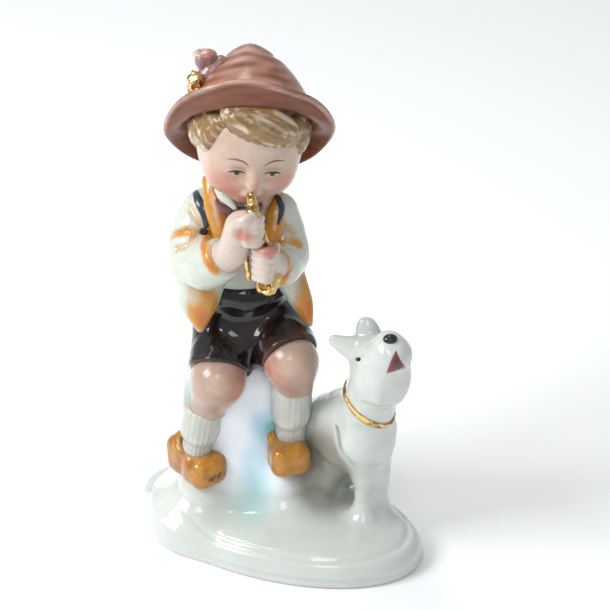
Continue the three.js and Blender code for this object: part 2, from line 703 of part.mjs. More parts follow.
add("pipe_bell", GOLD, bellShape, GILT);
add("drone_pipe", GOLD, dronePipeShape, GILT);
for (const s of SIDES) add(`${s.name}_lapel`, OCHRE, (g) => lapelShape(s, g));
for (const s of SIDES) add(`${s.name}_sleeve`, CLOTH_WHITE, (g) => sleeveShape(s, g));
for (const s of SIDES) add(`${s.name}_jacket_tail`, OCHRE, (g) => tailShape(s, g));
lute("head", SKIN, hollow(headShape, neck).add(noseShape(0)), () => fuse(headShape(SEAM), noseShape(SEAM)));
add("bow_tie", MAROON, bowShape);
add("right_hand", SKIN, upperHand);
add("left_hand", SKIN, lowerHand);
lute("hair", STRAW, hairShape(), () => hairCap(SEAM));
lute("hat", FELT, hatShape(0, false), () => hatShape(SEAM, true));
add("hat_feather", MAUVE, featherShape);
add("hat_badge", GOLD, badgeShape, GILT);
add("hat_brush", MAUVE, brushShape);
lute("dog_body", GLAZE, hollow(dogBodyShape, dogRump.clone().add(v(0, 0, -7))), () => dogBodyShape(SEAM));
for (const [name, sign] of [["right", -1], ["left", 1]]) {
  add(`dog_${name}_haunch`, GLAZE, (g) => haunchShape(sign, g));
  add(`dog_${name}_foreleg`, GLAZE, (g) => forelegShape(sign, g));
}
add("dog_mouth", RED, dogMouthShape);
add("dog_nose", BLACK_BROWN, dogNoseShape);
add("dog_collar", GOLD, collarShape, GILT);
lute("dog_head", GLAZE, hollow(dogHeadShape, dogNeck), () => dogHeadShape(SEAM));
for (const [name, sign] of [["right", -1], ["left", 1]]) {
  add(`dog_${name}_ear`, GLAZE, (g) => dogEarShape(sign, g));
}

export default figurine;
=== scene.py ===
"""Looks of the porcelain figurine: a boy in a felt hat plays a pipe to a howling terrier.

Each piece is sculpted as a distance field in millimetres, placed from the CAD nodes' boxes, and turned
into a mesh by a surface net. Overglaze colours, with painted shade and painted highlights, are painted
on the vertices, and brush lines lie on top.
"""

import math

import bpy
import numpy as np
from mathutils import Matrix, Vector


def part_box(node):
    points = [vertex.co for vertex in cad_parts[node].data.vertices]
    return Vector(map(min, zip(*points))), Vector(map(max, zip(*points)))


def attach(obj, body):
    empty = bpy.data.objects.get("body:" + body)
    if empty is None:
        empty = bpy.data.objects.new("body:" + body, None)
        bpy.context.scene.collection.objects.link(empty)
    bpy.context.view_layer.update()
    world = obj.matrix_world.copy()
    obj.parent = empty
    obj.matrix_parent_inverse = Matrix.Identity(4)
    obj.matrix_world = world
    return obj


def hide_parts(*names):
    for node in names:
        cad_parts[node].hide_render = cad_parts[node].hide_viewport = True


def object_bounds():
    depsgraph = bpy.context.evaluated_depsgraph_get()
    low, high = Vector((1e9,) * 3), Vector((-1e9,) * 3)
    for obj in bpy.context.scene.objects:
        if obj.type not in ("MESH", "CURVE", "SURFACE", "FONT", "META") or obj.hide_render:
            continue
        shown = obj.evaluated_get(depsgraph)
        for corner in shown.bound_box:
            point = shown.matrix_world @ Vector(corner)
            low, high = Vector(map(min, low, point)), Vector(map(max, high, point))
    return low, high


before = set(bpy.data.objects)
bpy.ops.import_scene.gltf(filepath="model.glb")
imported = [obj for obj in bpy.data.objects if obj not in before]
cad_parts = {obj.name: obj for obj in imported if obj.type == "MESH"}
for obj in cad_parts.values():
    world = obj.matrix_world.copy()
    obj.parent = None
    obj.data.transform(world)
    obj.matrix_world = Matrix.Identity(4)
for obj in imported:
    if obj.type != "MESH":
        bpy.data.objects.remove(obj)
CAD_BOX = [list(corner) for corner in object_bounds()]

MM = 0.001
STEP = 0.42  # size of the sculpting grid, in millimetres
BLOCK = 8  # grid steps in one block of the coarse search

# ---------------------------------------------------------------- places


def point(x, y, z):
    return np.array([x, y, z], float)


def corners(node):
    low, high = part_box(node)
    return np.array(low) / MM, np.array(high) / MM


def near(node, x=0.0, y=0.0, z=0.0):
    """A point at an offset in millimetres from the middle of a CAD node's box."""
    low, high = corners(node)
    return (low + high) / 2 + point(x, y, z)


def trail(origin, *offsets):
    """Points at some offsets from one place."""
    return [origin + offset for offset in offsets]


def turned(about_x, about_y, about_z):
    """The matrix that turns by these degrees about X, then Y, then Z."""
    matrix = np.eye(3)
    for axis, degrees in enumerate((about_x, about_y, about_z)):
        c, s = math.cos(math.radians(degrees)), math.sin(math.radians(degrees))
        one, two = [(1, 2), (2, 0), (0, 1)][axis]
        turn = np.eye(3)
        turn[one, one] = turn[two, two] = c
        turn[one, two], turn[two, one] = -s, s
        matrix = turn @ matrix
    return matrix


class Place:
    """A local frame: calling it turns a local point into a point of the figurine."""

    def __init__(self, origin, degrees=(0, 0, 0)):
        self.origin = origin
        self.matrix = turned(*degrees)

    def __call__(self, x, y, z):
        return self.origin + self.matrix @ point(x, y, z)


# ---------------------------------------------------------------- distance fields


class Shape:
    """A distance field with the box that holds its surface."""

    def __init__(self, distance, low, high):
        self.distance = distance
        self.low = np.array(low, float)
        self.high = np.array(high, float)

    def __call__(self, points):
        return self.distance(points)


def length(vectors):
    return np.sqrt(np.einsum("ij,ij->i", vectors, vectors))


def ball(centre, radii, matrix=None):
    radii = np.broadcast_to(np.array(radii, float), 3)
    matrix = np.eye(3) if matrix is None else matrix

    def distance(points):
        local = (points - centre) @ matrix
        k0 = length(local / radii)
        k1 = np.maximum(length(local / radii**2), 1e-9)
        return k0 * (k0 - 1) / k1

    reach = radii.max()
    return Shape(distance, centre - reach, centre + reach)


def block(centre, half, rounding, matrix):
    """A box with rounded edges; half holds half its sizes with the rounding inside them."""
    inner = np.array(half, float) - rounding

    def distance(points):
        local = np.abs((points - centre) @ matrix) - inner
        return length(np.maximum(local, 0)) + np.minimum(local.max(axis=1), 0) - rounding

    reach = float(np.linalg.norm(half))
    return Shape(distance, centre - reach, centre + reach)


def rod(start, end, radius_start, radius_end, flat=1.0, across=None):
    """A round-ended rod; flat below 1 squeezes it along the direction `across`."""
    along = end - start
    span = max(float(along @ along), 1e-9)
    squeeze = None if across is None else across / np.linalg.norm(across)

    def distance(points):
        offset = points - start
        share = np.clip(offset @ along / span, 0, 1)
        offset = offset - share[:, None] * along
        radius = radius_start + share * (radius_end - radius_start)
        if squeeze is None:
            return length(offset) - radius
        through = offset @ squeeze
        offset = offset + np.outer(through * (1 / flat - 1), squeeze)
        return (length(offset) - radius) * (flat + 1) / 2

    reach = max(radius_start, radius_end)
    return Shape(distance, np.minimum(start, end) - reach, np.maximum(start, end) + reach)


def smooth_curve(points, count):
    """Catmull-Rom points through a short list of points or radii."""
    points = np.array(points, float)
    padded = np.concatenate([[2 * points[0] - points[1]], points, [2 * points[-1] - points[-2]]])
    out = []
    for share in np.linspace(0, len(points) - 1, count):
        i = min(int(share), len(points) - 2)
        t = share - i
        a, b, c, d = padded[i : i + 4]
        second = (2 * a - 5 * b + 4 * c - d) * t**2
        third = (3 * b - 3 * c + d - a) * t**3
        out.append(0.5 * (2 * b + (c - a) * t + second + third))
    return np.array(out)


def rope(points, radii, count=None, flat=1.0, across=None):
    """Rods along a smooth curve."""
    count = count or 4 * len(points) - 3
    places = smooth_curve(points, count)
    sizes = np.maximum(smooth_curve([[r] for r in radii], count)[:, 0], 0.05)
    steps = range(count - 1)
    return joined(*[rod(places[i], places[i + 1], sizes[i], sizes[i + 1], flat, across) for i in steps])


def smooth_min(a, b, blend):
    if blend <= 0:
        return np.minimum(a, b)
    h = np.clip(0.5 + 0.5 * (b - a) / blend, 0, 1)
    return b + (a - b) * h - blend * h * (1 - h)


def joined(*shapes, blend=0.0):
    def distance(points):
        total = shapes[0](points)
        for shape in shapes[1:]:
            total = smooth_min(total, shape(points), blend)
        return total

    low = np.min([s.low for s in shapes], axis=0) - blend / 2
    high = np.max([s.high for s in shapes], axis=0) + blend / 2
    return Shape(distance, low, high)


def cut(shape, *tools, blend=0.0):
    def distance(points):
        total = -shape(points)
        for tool in tools:
            total = smooth_min(total, tool(points), blend)
        return -total

    return Shape(distance, shape.low, shape.high)


def half_space(where, outward):
    """Everything on the outward side of a plane, as a cutting tool."""
    outward = np.array(outward, float) / np.linalg.norm(outward)
    return Shape(lambda points: (where - points) @ outward, where, where)


def waves(points, size, seed=0.0):
    """Soft irregular waves from -1 to 1 with bumps about `size` millimetres wide."""
    x, y, z = (points * (math.pi / size)).T
    first = np.sin(x + 1.7 * np.sin(0.6 * y + seed) + seed) * np.cos(y + 1.3 * np.sin(0.7 * z - seed))
    second = np.sin(z + 1.1 * np.sin(0.8 * x + 2 * seed))
    return 0.6 * first + 0.4 * second


def wavy(shape, size, depth, seed=0.0):
    """The shape with a hand-modelled unevenness."""

    def distance(points):
        return shape(points) + depth * waves(points, size, seed)

    return Shape(distance, shape.low - depth, shape.high + depth)


def normals(shape, points, reach=0.12):
    slopes = []
    for axis in np.eye(3) * reach:
        slopes.append(shape(points + axis) - shape(points - axis))
    slopes = np.stack(slopes, axis=1)
    return slopes / np.maximum(length(slopes), 1e-9)[:, None]


# ---------------------------------------------------------------- meshes from fields


def sampled(shape, step):
    """The field on a grid: coarse blocks first, then every point of the blocks near the surface."""
    low = shape.low - 2.5 * step
    blocks = np.ceil((shape.high - low + 2.5 * step) / (BLOCK * step)).astype(int)
    middles = np.stack(np.meshgrid(*[np.arange(n) for n in blocks], indexing="ij"), -1).reshape(-1, 3)
    half = (BLOCK - 1) / 2
    coarse = shape(low + (middles * BLOCK + half) * step)
    active = np.abs(coarse) < BLOCK * step * 1.25
    values = coarse.reshape(blocks).repeat(BLOCK, 0).repeat(BLOCK, 1).repeat(BLOCK, 2)
    inner = np.stack(np.meshgrid(*[np.arange(BLOCK)] * 3, indexing="ij"), -1).reshape(-1, 3)
    for start in range(0, len(middles), 256):
        chosen = middles[start : start + 256][active[start : start + 256]]
        if not len(chosen):
            continue
        cells = (chosen[:, None, :] * BLOCK + inner[None]).reshape(-1, 3)
        values[tuple(cells.T)] = shape(low + cells * step)
    return values, low


def surface_net(shape, step):
    """Vertices and quads of the zero surface, settled onto it."""
    values, low = sampled(shape, step)
    inside = values < 0
    count = np.zeros(np.array(values.shape) - 1, int)
    shifts = [np.array([i, j, k]) for i in (0, 1) for j in (0, 1) for k in (0, 1)]
    for s in shifts:
        count += inside[tuple(slice(a, a + n) for a, n in zip(s, count.shape))]
    live = (count > 0) & (count < 8)
    cells = np.argwhere(live)
    index = np.full(count.shape, -1)
    index[tuple(cells.T)] = np.arange(len(cells))
    places = np.zeros((len(cells), 3))
    hits = np.zeros(len(cells))
    for a in shifts:
        for axis in range(3):
            if a[axis]:
                continue
            b = a + np.eye(3, dtype=int)[axis]
            from_a = values[tuple((cells + a).T)]
            from_b = values[tuple((cells + b).T)]
            crossed = (from_a < 0) != (from_b < 0)
            share = np.where(crossed, from_a / np.where(crossed, from_a - from_b, 1), 0)
            places += np.where(crossed[:, None], a + share[:, None] * (b - a), 0)
            hits += crossed
    places = low + (cells + places / hits[:, None]) * step
    quads = []
    for axis in range(3):
        one, two = (axis + 1) % 3, (axis + 2) % 3
        here = [slice(None)] * 3
        there = [slice(None)] * 3
        here[axis], there[axis] = slice(0, -1), slice(1, None)
        edges = np.argwhere(inside[tuple(here)] != inside[tuple(there)])
        edges = edges[(edges[:, one] > 0) & (edges[:, two] > 0)]
        edges = edges[(edges[:, one] < count.shape[one]) & (edges[:, two] < count.shape[two])]
        u, v = np.eye(3, dtype=int)[one], np.eye(3, dtype=int)[two]
        ring = [index[tuple((edges - s).T)] for s in (0 * u, u, u + v, v)]
        ring = np.stack(ring, axis=1)
        outward = inside[tuple(edges.T)]
        quads.append(np.where(outward[:, None], ring, ring[:, ::-1]))
    quads = np.concatenate(quads)
    for _ in range(2):
        facing = normals(shape, places)
        places = places - facing * np.clip(shape(places), -step, step)[:, None]
    return places, quads


def ring_quads(rows, around):
    """Quads between rows of points that each go once round."""
    quads = []
    for start in range(0, (rows - 1) * around, around):
        for j in range(around):
            k = (j + 1) % around
            quads.append([start + j, start + k, start + around + k, start + around + j])
    return quads


def turned_over(quads):
    """The same quads, each with the same first corner, facing the other way."""
    return [[first, fourth, third, second] for first, second, third, fourth in quads]


def mesh_object(name, places, faces, colours=None, facing=None):
    mesh = bpy.data.meshes.new(name)
    mesh.from_pydata((places * MM).tolist(), [], [list(f) for f in faces])
    mesh.polygons.foreach_set("use_smooth", [True] * len(mesh.polygons))
    if facing is not None:
        mesh.normals_split_custom_set_from_vertices(facing.tolist())
    if colours is not None:
        layer = mesh.color_attributes.new("paint", "FLOAT_COLOR", "POINT")
        rgba = np.concatenate([colours, np.ones((len(colours), 1))], axis=1)
        layer.data.foreach_set("color", rgba.astype(np.float32).ravel())
    mesh.update()
    piece = bpy.data.objects.new(name, mesh)
    bpy.context.scene.collection.objects.link(piece)
    return piece


# ---------------------------------------------------------------- colours


def rgb(red, green, blue):
    """A colour of the paint box, given as 0 to 255, as linear light."""
    share = np.array([red, green, blue]) / 255
    return np.where(share <= 0.04045, share / 12.92, ((share + 0.055) / 1.055) ** 2.4)


WHITE = rgb(208, 212, 206)
# The rock's own bluish white, laid lighter than the base's white as painted light where the rock sits in
# the legs' shade.
COOL_WHITE = rgb(240, 246, 255)
SKY = rgb(168, 222, 240)
TURQUOISE = rgb(112, 186, 180)
GREEN = rgb(132, 166, 148)
SHADE = rgb(136, 134, 118)
SKIN = rgb(206, 176, 158)
HAND_SKIN = rgb(210, 192, 180)
PINK_WHITE = rgb(222, 204, 194)
LEG_SKIN = rgb(182, 154, 138)
ROSE = rgb(190, 100, 78)
OCHRE = rgb(206, 142, 44)
ORANGE = rgb(208, 110, 40)
SHOE = rgb(184, 126, 46)
SHOE_DARK = rgb(140, 80, 22)
SCUFF = rgb(96, 48, 24)
SHIRT = rgb(205, 210, 198)
SOCK = rgb(192, 193, 184)
BLACK = rgb(20, 16, 16)
RED_BROWN = rgb(84, 38, 32)
FELT = rgb(136, 77, 49)
FELT_DARK = rgb(92, 42, 30)
FELT_PALE = rgb(186, 150, 138)
HAIR = rgb(152, 118, 76)
HAIR_DARK = rgb(108, 78, 44)
HAIR_PALE = rgb(222, 210, 188)
MAROON = rgb(92, 52, 56)
MAUVE = rgb(160, 124, 124)
GOLD = rgb(222, 172, 78)
LUSTRE = rgb(232, 198, 134)
LUSTRE_THIN = rgb(124, 88, 40)
MOUTH_RED = rgb(172, 84, 80)
INK = rgb(26, 28, 36)
BRACE_BLUE = rgb(52, 62, 76)
BROW = rgb(140, 102, 60)


class Paint:
    """Washes laid over a ground colour. Each wash has a colour and a mask from 0 to 1."""

    def __init__(self, ground, *washes):
        self.ground = ground
        self.washes = washes

    def __call__(self, points, facing, shape):
        colour = np.broadcast_to(self.ground, (len(points), 3)).copy()
        for shade, mask in self.washes:
            share = np.clip(mask(points, facing, shape), 0, 1)[:, None]
            colour = colour * (1 - share) + shade * share
        return colour


def ramp(value, start, end):
    share = np.clip((value - start) / (end - start), 0, 1)
    return share * share * (3 - 2 * share)


def spot(centre, radius, strength=1.0, stretch=(1, 1, 1), rough=0.0, heart=0.25):
    """A soft airbrushed spot that starts to fade at the share `heart` of its radius."""
    stretch = np.array(stretch, float)

    def mask(points, facing, shape):
        away = length((points - centre) / stretch) + rough * waves(points, radius * 0.8, radius)
        return strength * (1 - ramp(away, radius * heart, radius))

    return mask


def brushed(path, radii, strength=1.0, soft=0.6, rough=0.25):
    """A brush stroke through some points, with a soft uneven edge."""
    core = rope(path, radii)

    def mask(points, facing, shape):
        return strength * (1 - ramp(core(points) + rough * waves(points, 1.6, 1.0), -soft, soft))

    return mask


def hollow_shade(depth=1.2, strength=1.0):
    """Painted shade: a darker colour where the surface is hollow."""

    def mask(points, facing, shape):
        return strength * ramp(1 - shape(points + facing * depth) / depth, 0.12, 0.9)

    return mask


def edges(depth=0.8, strength=1.0):
    """Lighter colour where the surface is sharp: glaze that runs thin there, and a painted highlight
    along the edge.
    """

    def mask(points, facing, shape):
        return strength * ramp(1 + shape(points - facing * depth) / depth, 0.15, 0.8)

    return mask


def streaks(direction, width, strength=1.0, seed=0.0):
    """Brush streaks that run along a direction."""
    along = np.array(direction, float) / np.linalg.norm(direction)

    def mask(points, facing, shape):
        across = points - np.outer(points @ along, along) * 0.88
        fine = 0.5 * waves(across, width * 0.45, seed + 2)
        return strength * ramp(waves(across, width, seed) + fine, -0.2, 1.0)

    return mask


# ---------------------------------------------------------------- materials


def fill(node, values):
    """Sets a node's inputs to plain values."""
    for socket, value in values.items():
        node.inputs[socket].default_value = value


class Recipe:
    """A new material with the nodes that its painter adds before the Principled shader."""

    def __init__(self, name):
        self.material = bpy.data.materials.new(name)
        self.material.use_nodes = True
        self.tree = self.material.node_tree
        self.shader = self.tree.nodes["Principled BSDF"]

    def add(self, kind):
        return self.tree.nodes.new(f"ShaderNode{kind}")

    def link(self, source, target):
        self.tree.links.new(source, target)

    def noise(self, source, scale, detail=3.0, stretch=(1, 1, 1)):
        mapping = self.add("Mapping")
        fill(mapping, {"Scale": stretch})
        self.link(source, mapping.inputs["Vector"])
        texture = self.add("TexNoise")
        fill(texture, {"Scale": scale, "Detail": detail})
        self.link(mapping.outputs["Vector"], texture.inputs["Vector"])
        return texture.outputs["Fac"]

    def mapped(self, value, out_low, out_high):
        """Takes the middle range of a noise to a range of its own."""
        node = self.add("MapRange")
        fill(node, {"From Min": 0.3, "From Max": 0.7, "To Min": out_low, "To Max": out_high})
        self.link(value, node.inputs["Value"])
        return node.outputs["Result"]

    def bump(self, height, values, *targets):
        node = self.add("Bump")
        fill(node, values)
        self.link(height, node.inputs["Height"])
        for target in targets:
            self.link(node.outputs["Normal"], self.shader.inputs[target])


def glaze(name, brush=0.12, brush_scale=900, stretch=(1, 1, 1), gloss=0.04, coat=1.0, skin=0.0):
    """Clear glaze over painted porcelain: the paint with brush streaks, under a glassy coat."""
    recipe = Recipe(name)
    place = recipe.add("TexCoord").outputs["Object"]
    paint = recipe.add("Attribute")
    paint.attribute_name = "paint"
    streak = recipe.mapped(recipe.noise(place, brush_scale, 4, stretch), 1 - brush, 1 + brush * 0.5)
    cloud = recipe.mapped(recipe.noise(place, 90, 2), 0.96, 1.02)
    both = recipe.add("Math")
    both.operation = "MULTIPLY"
    recipe.link(streak, both.inputs[0])
    recipe.link(cloud, both.inputs[1])
    tinted = recipe.add("VectorMath")
    tinted.operation = "SCALE"
    recipe.link(paint.outputs["Color"], tinted.inputs[0])
    recipe.link(both.outputs[0], tinted.inputs["Scale"])
    recipe.link(tinted.outputs[0], recipe.shader.inputs["Base Color"])
    ripple = {"Strength": 0.6, "Distance": 0.00006}
    recipe.bump(recipe.noise(place, 260, 2), ripple, "Normal", "Coat Normal")
    fill(recipe.shader, {"Roughness": 0.35, "Specular IOR Level": 0.1})
    fill(recipe.shader, {"Coat Weight": coat, "Coat Roughness": gloss, "Coat IOR": 1.5})
    if skin:
        fill(recipe.shader, {"Subsurface Weight": skin, "Subsurface Radius": (1.0, 0.8, 0.7)})
        fill(recipe.shader, {"Subsurface Scale": 0.0012})
    return recipe.material


def lustre(name):
    """Bright gold lustre, hand-laid, with thin brown patches."""
    recipe = Recipe(name)
    place = recipe.add("TexCoord").outputs["Object"]
    worn = recipe.add("ValToRGB")
    for element, position, colour in zip(worn.color_ramp.elements, (0.34, 0.52), (LUSTRE_THIN, LUSTRE)):
        element.position = position
        element.color = (*colour, 1)
    recipe.link(recipe.noise(place, 520), worn.inputs["Fac"])
    recipe.link(worn.outputs["Color"], recipe.shader.inputs["Base Color"])
    patchy = recipe.mapped(recipe.noise(place, 700), 0.1, 0.34)
    recipe.link(patchy, recipe.shader.inputs["Roughness"])
    recipe.bump(recipe.noise(place, 560), {"Distance": 0.00022}, "Normal")
    fill(recipe.shader, {"Metallic": 1.0, "Coat Weight": 0.3, "Coat Roughness": 0.05})
    return recipe.material


PORCELAIN = glaze("white_porcelain", brush=0.03, brush_scale=300, skin=0.25)
FLESH = glaze("flesh_glaze", brush=0.07, brush_scale=700, gloss=0.2, skin=0.2)
CLOTH = glaze("shirt_glaze", brush=0.05, brush_scale=420, gloss=0.05, skin=0.15)
KNIT = glaze("sock_glaze", brush=0.08, brush_scale=700, stretch=(1, 1, 0.15), gloss=0.1)
LEATHER = glaze("shoe_glaze", brush=0.22, brush_scale=500, stretch=(1, 0.4, 1.0), gloss=0.12)
DARK = glaze("black_brown_glaze", brush=0.3, brush_scale=300, gloss=0.05)
BRUSHED = glaze("felt_glaze", 0.26, 620, (0.22, 0.6, 1.3), gloss=0.22, coat=0.7)
STRANDS = glaze("hair_glaze", 0.22, 900, (0.35, 1, 1.0), gloss=0.1, coat=0.8)
ENAMEL = glaze("line_enamel", brush=0.1, brush_scale=900)
GILT = lustre("gold_lustre")

# ---------------------------------------------------------------- pieces


def finished(piece, material, nodes=()):
    """Paints a piece, puts it on the only body and hides the CAD nodes that it stands for."""
    piece.data.materials.append(material)
    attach(piece, "root")
    if nodes:
        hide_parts(*nodes)
    return piece


def sculpt(name, shape, paint, material, step=STEP, nodes=None):
    """Meshes and paints a shape, which stands for the CAD node of its name if no others are given."""
    nodes = (name,) if nodes is None else nodes
    places, quads = surface_net(shape, step)
    facing = normals(shape, places, 0.25)
    colours = paint(places, facing, shape)
    return finished(mesh_object(name, places, quads, colours, facing), material, nodes)


def sculpt_together(shape, paint, material, step, parts):
    """Meshes one flowing surface, and gives every part the faces that lie nearest to its own field."""
    places, quads = surface_net(shape, step)
    facing = normals(shape, places, 0.25)
    middles = places[quads].mean(axis=1)
    owner = np.argmin([part[1](middles) for part in parts], axis=0)
    for number, (name, _, nodes) in enumerate(parts):
        mine = quads[owner == number]
        used, local = np.unique(mine, return_inverse=True)
        colours = paint(places[used], facing[used], shape)
        piece = mesh_object(name, places[used], local.reshape(mine.shape), colours, facing[used])
        finished(piece, material, nodes)


def settled(starts, towards, shape):
    """Where rays from outside first meet the shape, or its nearest place when a ray passes by."""
    towards = towards / np.maximum(length(towards), 1e-9)[:, None]
    places = starts.copy()
    nearest, gap = starts.copy(), np.abs(shape(starts))
    for _ in range(50):
        places = places + towards * np.clip(shape(places) * 0.8, -3, 3)[:, None]
        now = np.abs(shape(places))
        closer = now < gap
        nearest[closer], gap[closer] = places[closer], now[closer]
    for _ in range(4):
        nearest = nearest - normals(shape, nearest) * np.clip(shape(nearest), -2, 2)[:, None]
    return nearest


PAINTERS_VIEW = point(0, 0.866, -0.5)  # in from the front and down, as a painter looks at it


def laid(shape, middle, path):
    """Points given as (right, up) from a middle, laid on the shape as a painter sees them."""
    starts = np.array([middle + point(x, 0, z) - 25 * PAINTERS_VIEW for x, z in path])
    return settled(starts, np.broadcast_to(PAINTERS_VIEW, starts.shape), shape)


def line(name, path, widths, shape, towards, colour, height=0.14):
    """A brush line laid on a shape: a low ridge that follows the points cast onto it."""
    count = 8 * (len(path) - 1) + 1
    starts = smooth_curve(path, count)
    half = np.maximum(smooth_curve([[w] for w in widths], count)[:, 0], 0.02) / 2
    ridge = settled(starts, np.broadcast_to(towards, starts.shape), shape)
    up = normals(shape, ridge)
    along = np.gradient(ridge, axis=0)
    side = np.cross(along, up)
    side /= np.maximum(length(side), 1e-9)[:, None]
    ring = 8
    places = []
    for i in range(count):
        for j in range(ring):
            a = 2 * math.pi * j / ring
            lift = min(height, half[i]) * math.sin(a)
            places.append(ridge[i] + side[i] * half[i] * math.cos(a) + up[i] * lift)
    faces = ring_quads(count, ring)
    faces.append(list(range(ring))[::-1])
    faces.append([(count - 1) * ring + j for j in range(ring)])
    places = np.array(places)
    colours = np.broadcast_to(colour, (len(places), 3))
    return finished(mesh_object(name, places, faces, colours), ENAMEL)


def patch(name, outline, shape, towards, colour, heart, nodes=(), lift=0.06):
    """A flat spot of enamel with a drawn outline, laid on a shape; its middle has another colour."""
    edge = smooth_curve([*outline, outline[0]], 6 * len(outline) + 1)[:-1]
    middle = edge.mean(axis=0)
    rings = 5
    starts = np.concatenate([middle + (edge - middle) * share for share in np.linspace(1, 0.12, rings)])
    down = np.broadcast_to(towards, starts.shape)
    laid = settled(starts, down, shape)
    up = normals(shape, laid)
    share = np.repeat(np.linspace(1, 0, rings), len(edge))
    laid = laid + up * (lift * np.sqrt(1 - share**2) - 0.02)[:, None]
    n = len(edge)
    faces = ring_quads(rings, n)
    faces.append([(rings - 1) * n + j for j in range(n)])
    colours = heart + (colour - heart) * share[:, None] ** 2
    piece = mesh_object(name, laid, faces, colours)
    facing = np.array(piece.data.polygons[0].normal)
    if facing @ np.array(towards) > 0:
        piece.data.flip_normals()
    return finished(piece, ENAMEL, nodes)


# ---- base and boulder

BASE_TURN = -24.5
LONG_HALF, SHORT_HALF = 40.0, 22.3
RIM_HEIGHT = 6.2
DOME_RISE = 4.8


def base_field():
    low, high = corners("base_plinth")
    turn = turned(0, 0, BASE_TURN)

    def distance(points):
        x, y, z = (points @ turn).T
        share = np.sqrt((x / LONG_HALF) ** 2 + (y / SHORT_HALF) ** 2)
        steep = np.sqrt((x / LONG_HALF**2) ** 2 + (y / SHORT_HALF**2) ** 2)
        wall = (share - 1) * share / np.maximum(steep, 1e-4)
        dome = DOME_RISE * np.clip(1 - share**2.4, 0, 1) ** 0.9
        ridge = 0.5 * np.exp(-(((share - 0.9) / 0.025) ** 2))
        groove = 0.4 * np.exp(-(((z - 2.2) / 0.7) ** 2))
        top = z - RIM_HEIGHT - dome + ridge
        body = -smooth_min(-wall - 0.1 * np.abs(z - 2.5) - groove, -top * 0.92, 3.4)
        return np.maximum(body, -z)

    return Shape(distance, low, point(high[0], high[1], RIM_HEIGHT + 6))


shoe_right = near("right_shoe", -0.8, 0.4, -0.2)
shoe_left = near("left_shoe", -0.2, 0.6, -1.2)
rock = near("rock_seat")
mounds = [
    rod(shoe_right + (0, 0, -16), shoe_right + (1.6, -0.2, -9.6), 11.5, 6.0),
    rod(shoe_left + (0, 1, -18), shoe_left + (-0.2, -0.4, -10.2), 12.0, 6.2),
]
boulder = wavy(
    joined(
        rod(rock + (-3.6, 0.2, -20), rock + (-4.4, 0.2, 12), 12.4, 11.0),
        rod(rock + (4.4, -0.2, -22), rock + (3.6, 0.2, 12), 11.6, 10.2),
        rod(rock + (-2, 2.5, -22), rock + (-2, 1, -12), 16.0, 12.0),
        blend=5,
    ),
    10, 0.8, 1.0,
)
ground = joined(base_field(), *mounds, boulder, blend=6.5)
ground.low[2] = 0
haunch = near("dog_right_haunch")
porcelain_paint = Paint(
    WHITE,
    # Painted shade in the hollows.
    (SHADE, hollow_shade(3.0, 0.3)),
    # The rock's own cool white, laid lighter than the base as painted light.
    (COOL_WHITE, spot(rock + (4, -12, 4), 26, 1.0, (0.7, 1, 1), 0, 0.5)),
    (SKY, spot(rock + (6.0, -12, 3.0), 7.5, 0.85, (0.8, 1, 1), 0.8)),
    (TURQUOISE, spot(rock + (8.2, -11, 2.0), 4.4, 0.95, (0.8, 1, 1), 0.5)),
    (SKY, spot(rock + (3.4, -14, -8), 9.0, 0.5, (0.6, 1.2, 1.4), 0.8)),
    (TURQUOISE, spot(rock + (2.0, -18, -14), 9.5, 0.42, (0.8, 1.1, 1.2), 1.0)),
    (GREEN, spot(rock + (-15, -2, 6), 9.0, 0.8, rough=0.6)),
    (GREEN, spot(rock + (-4, 14, 0), 13, 0.4, (1, 1, 1.2), 0.9)),
    # Painted shade on the terrier's haunch and back.
    (SHADE, spot(haunch + (-1.0, -3.0, 6.5), 14.5, 0.85, (0.8, 1, 1.2), 0, 0.4)),
)

# ---- terrier

rump = near("dog_body", -5.4, 7.6, -9.6)
breast = near("dog_body", 3.6, -6.4, 4.4)
nape = near("dog_collar", -0.6, 0.6, -0.6)
poll = near("dog_head", -0.9, 1.4, 3.0)
snout = near("dog_head", 2.8, -4.4, 10.6)


def forelegs():
    legs = []
    for side, lean, inward in (("right", 0.2, 1.0), ("left", -1.4, -1.6)):
        low, high = corners(f"dog_{side}_foreleg")
        middle = (low + high) / 2
        shoulder = point(middle[0] + lean, middle[1] + 2.4, high[2] + 2)
        foot = point(middle[0] + inward, middle[1] + 2.8, low[2] + 1.6)
        legs.append(rope([shoulder, (shoulder + foot) / 2 + (0, 0.2, 1), foot], [4.2, 3.0, 2.5]))
        legs.append(rod(foot, foot + (0.4, -1.8, -1.0), 2.4, 2.0))
    return legs


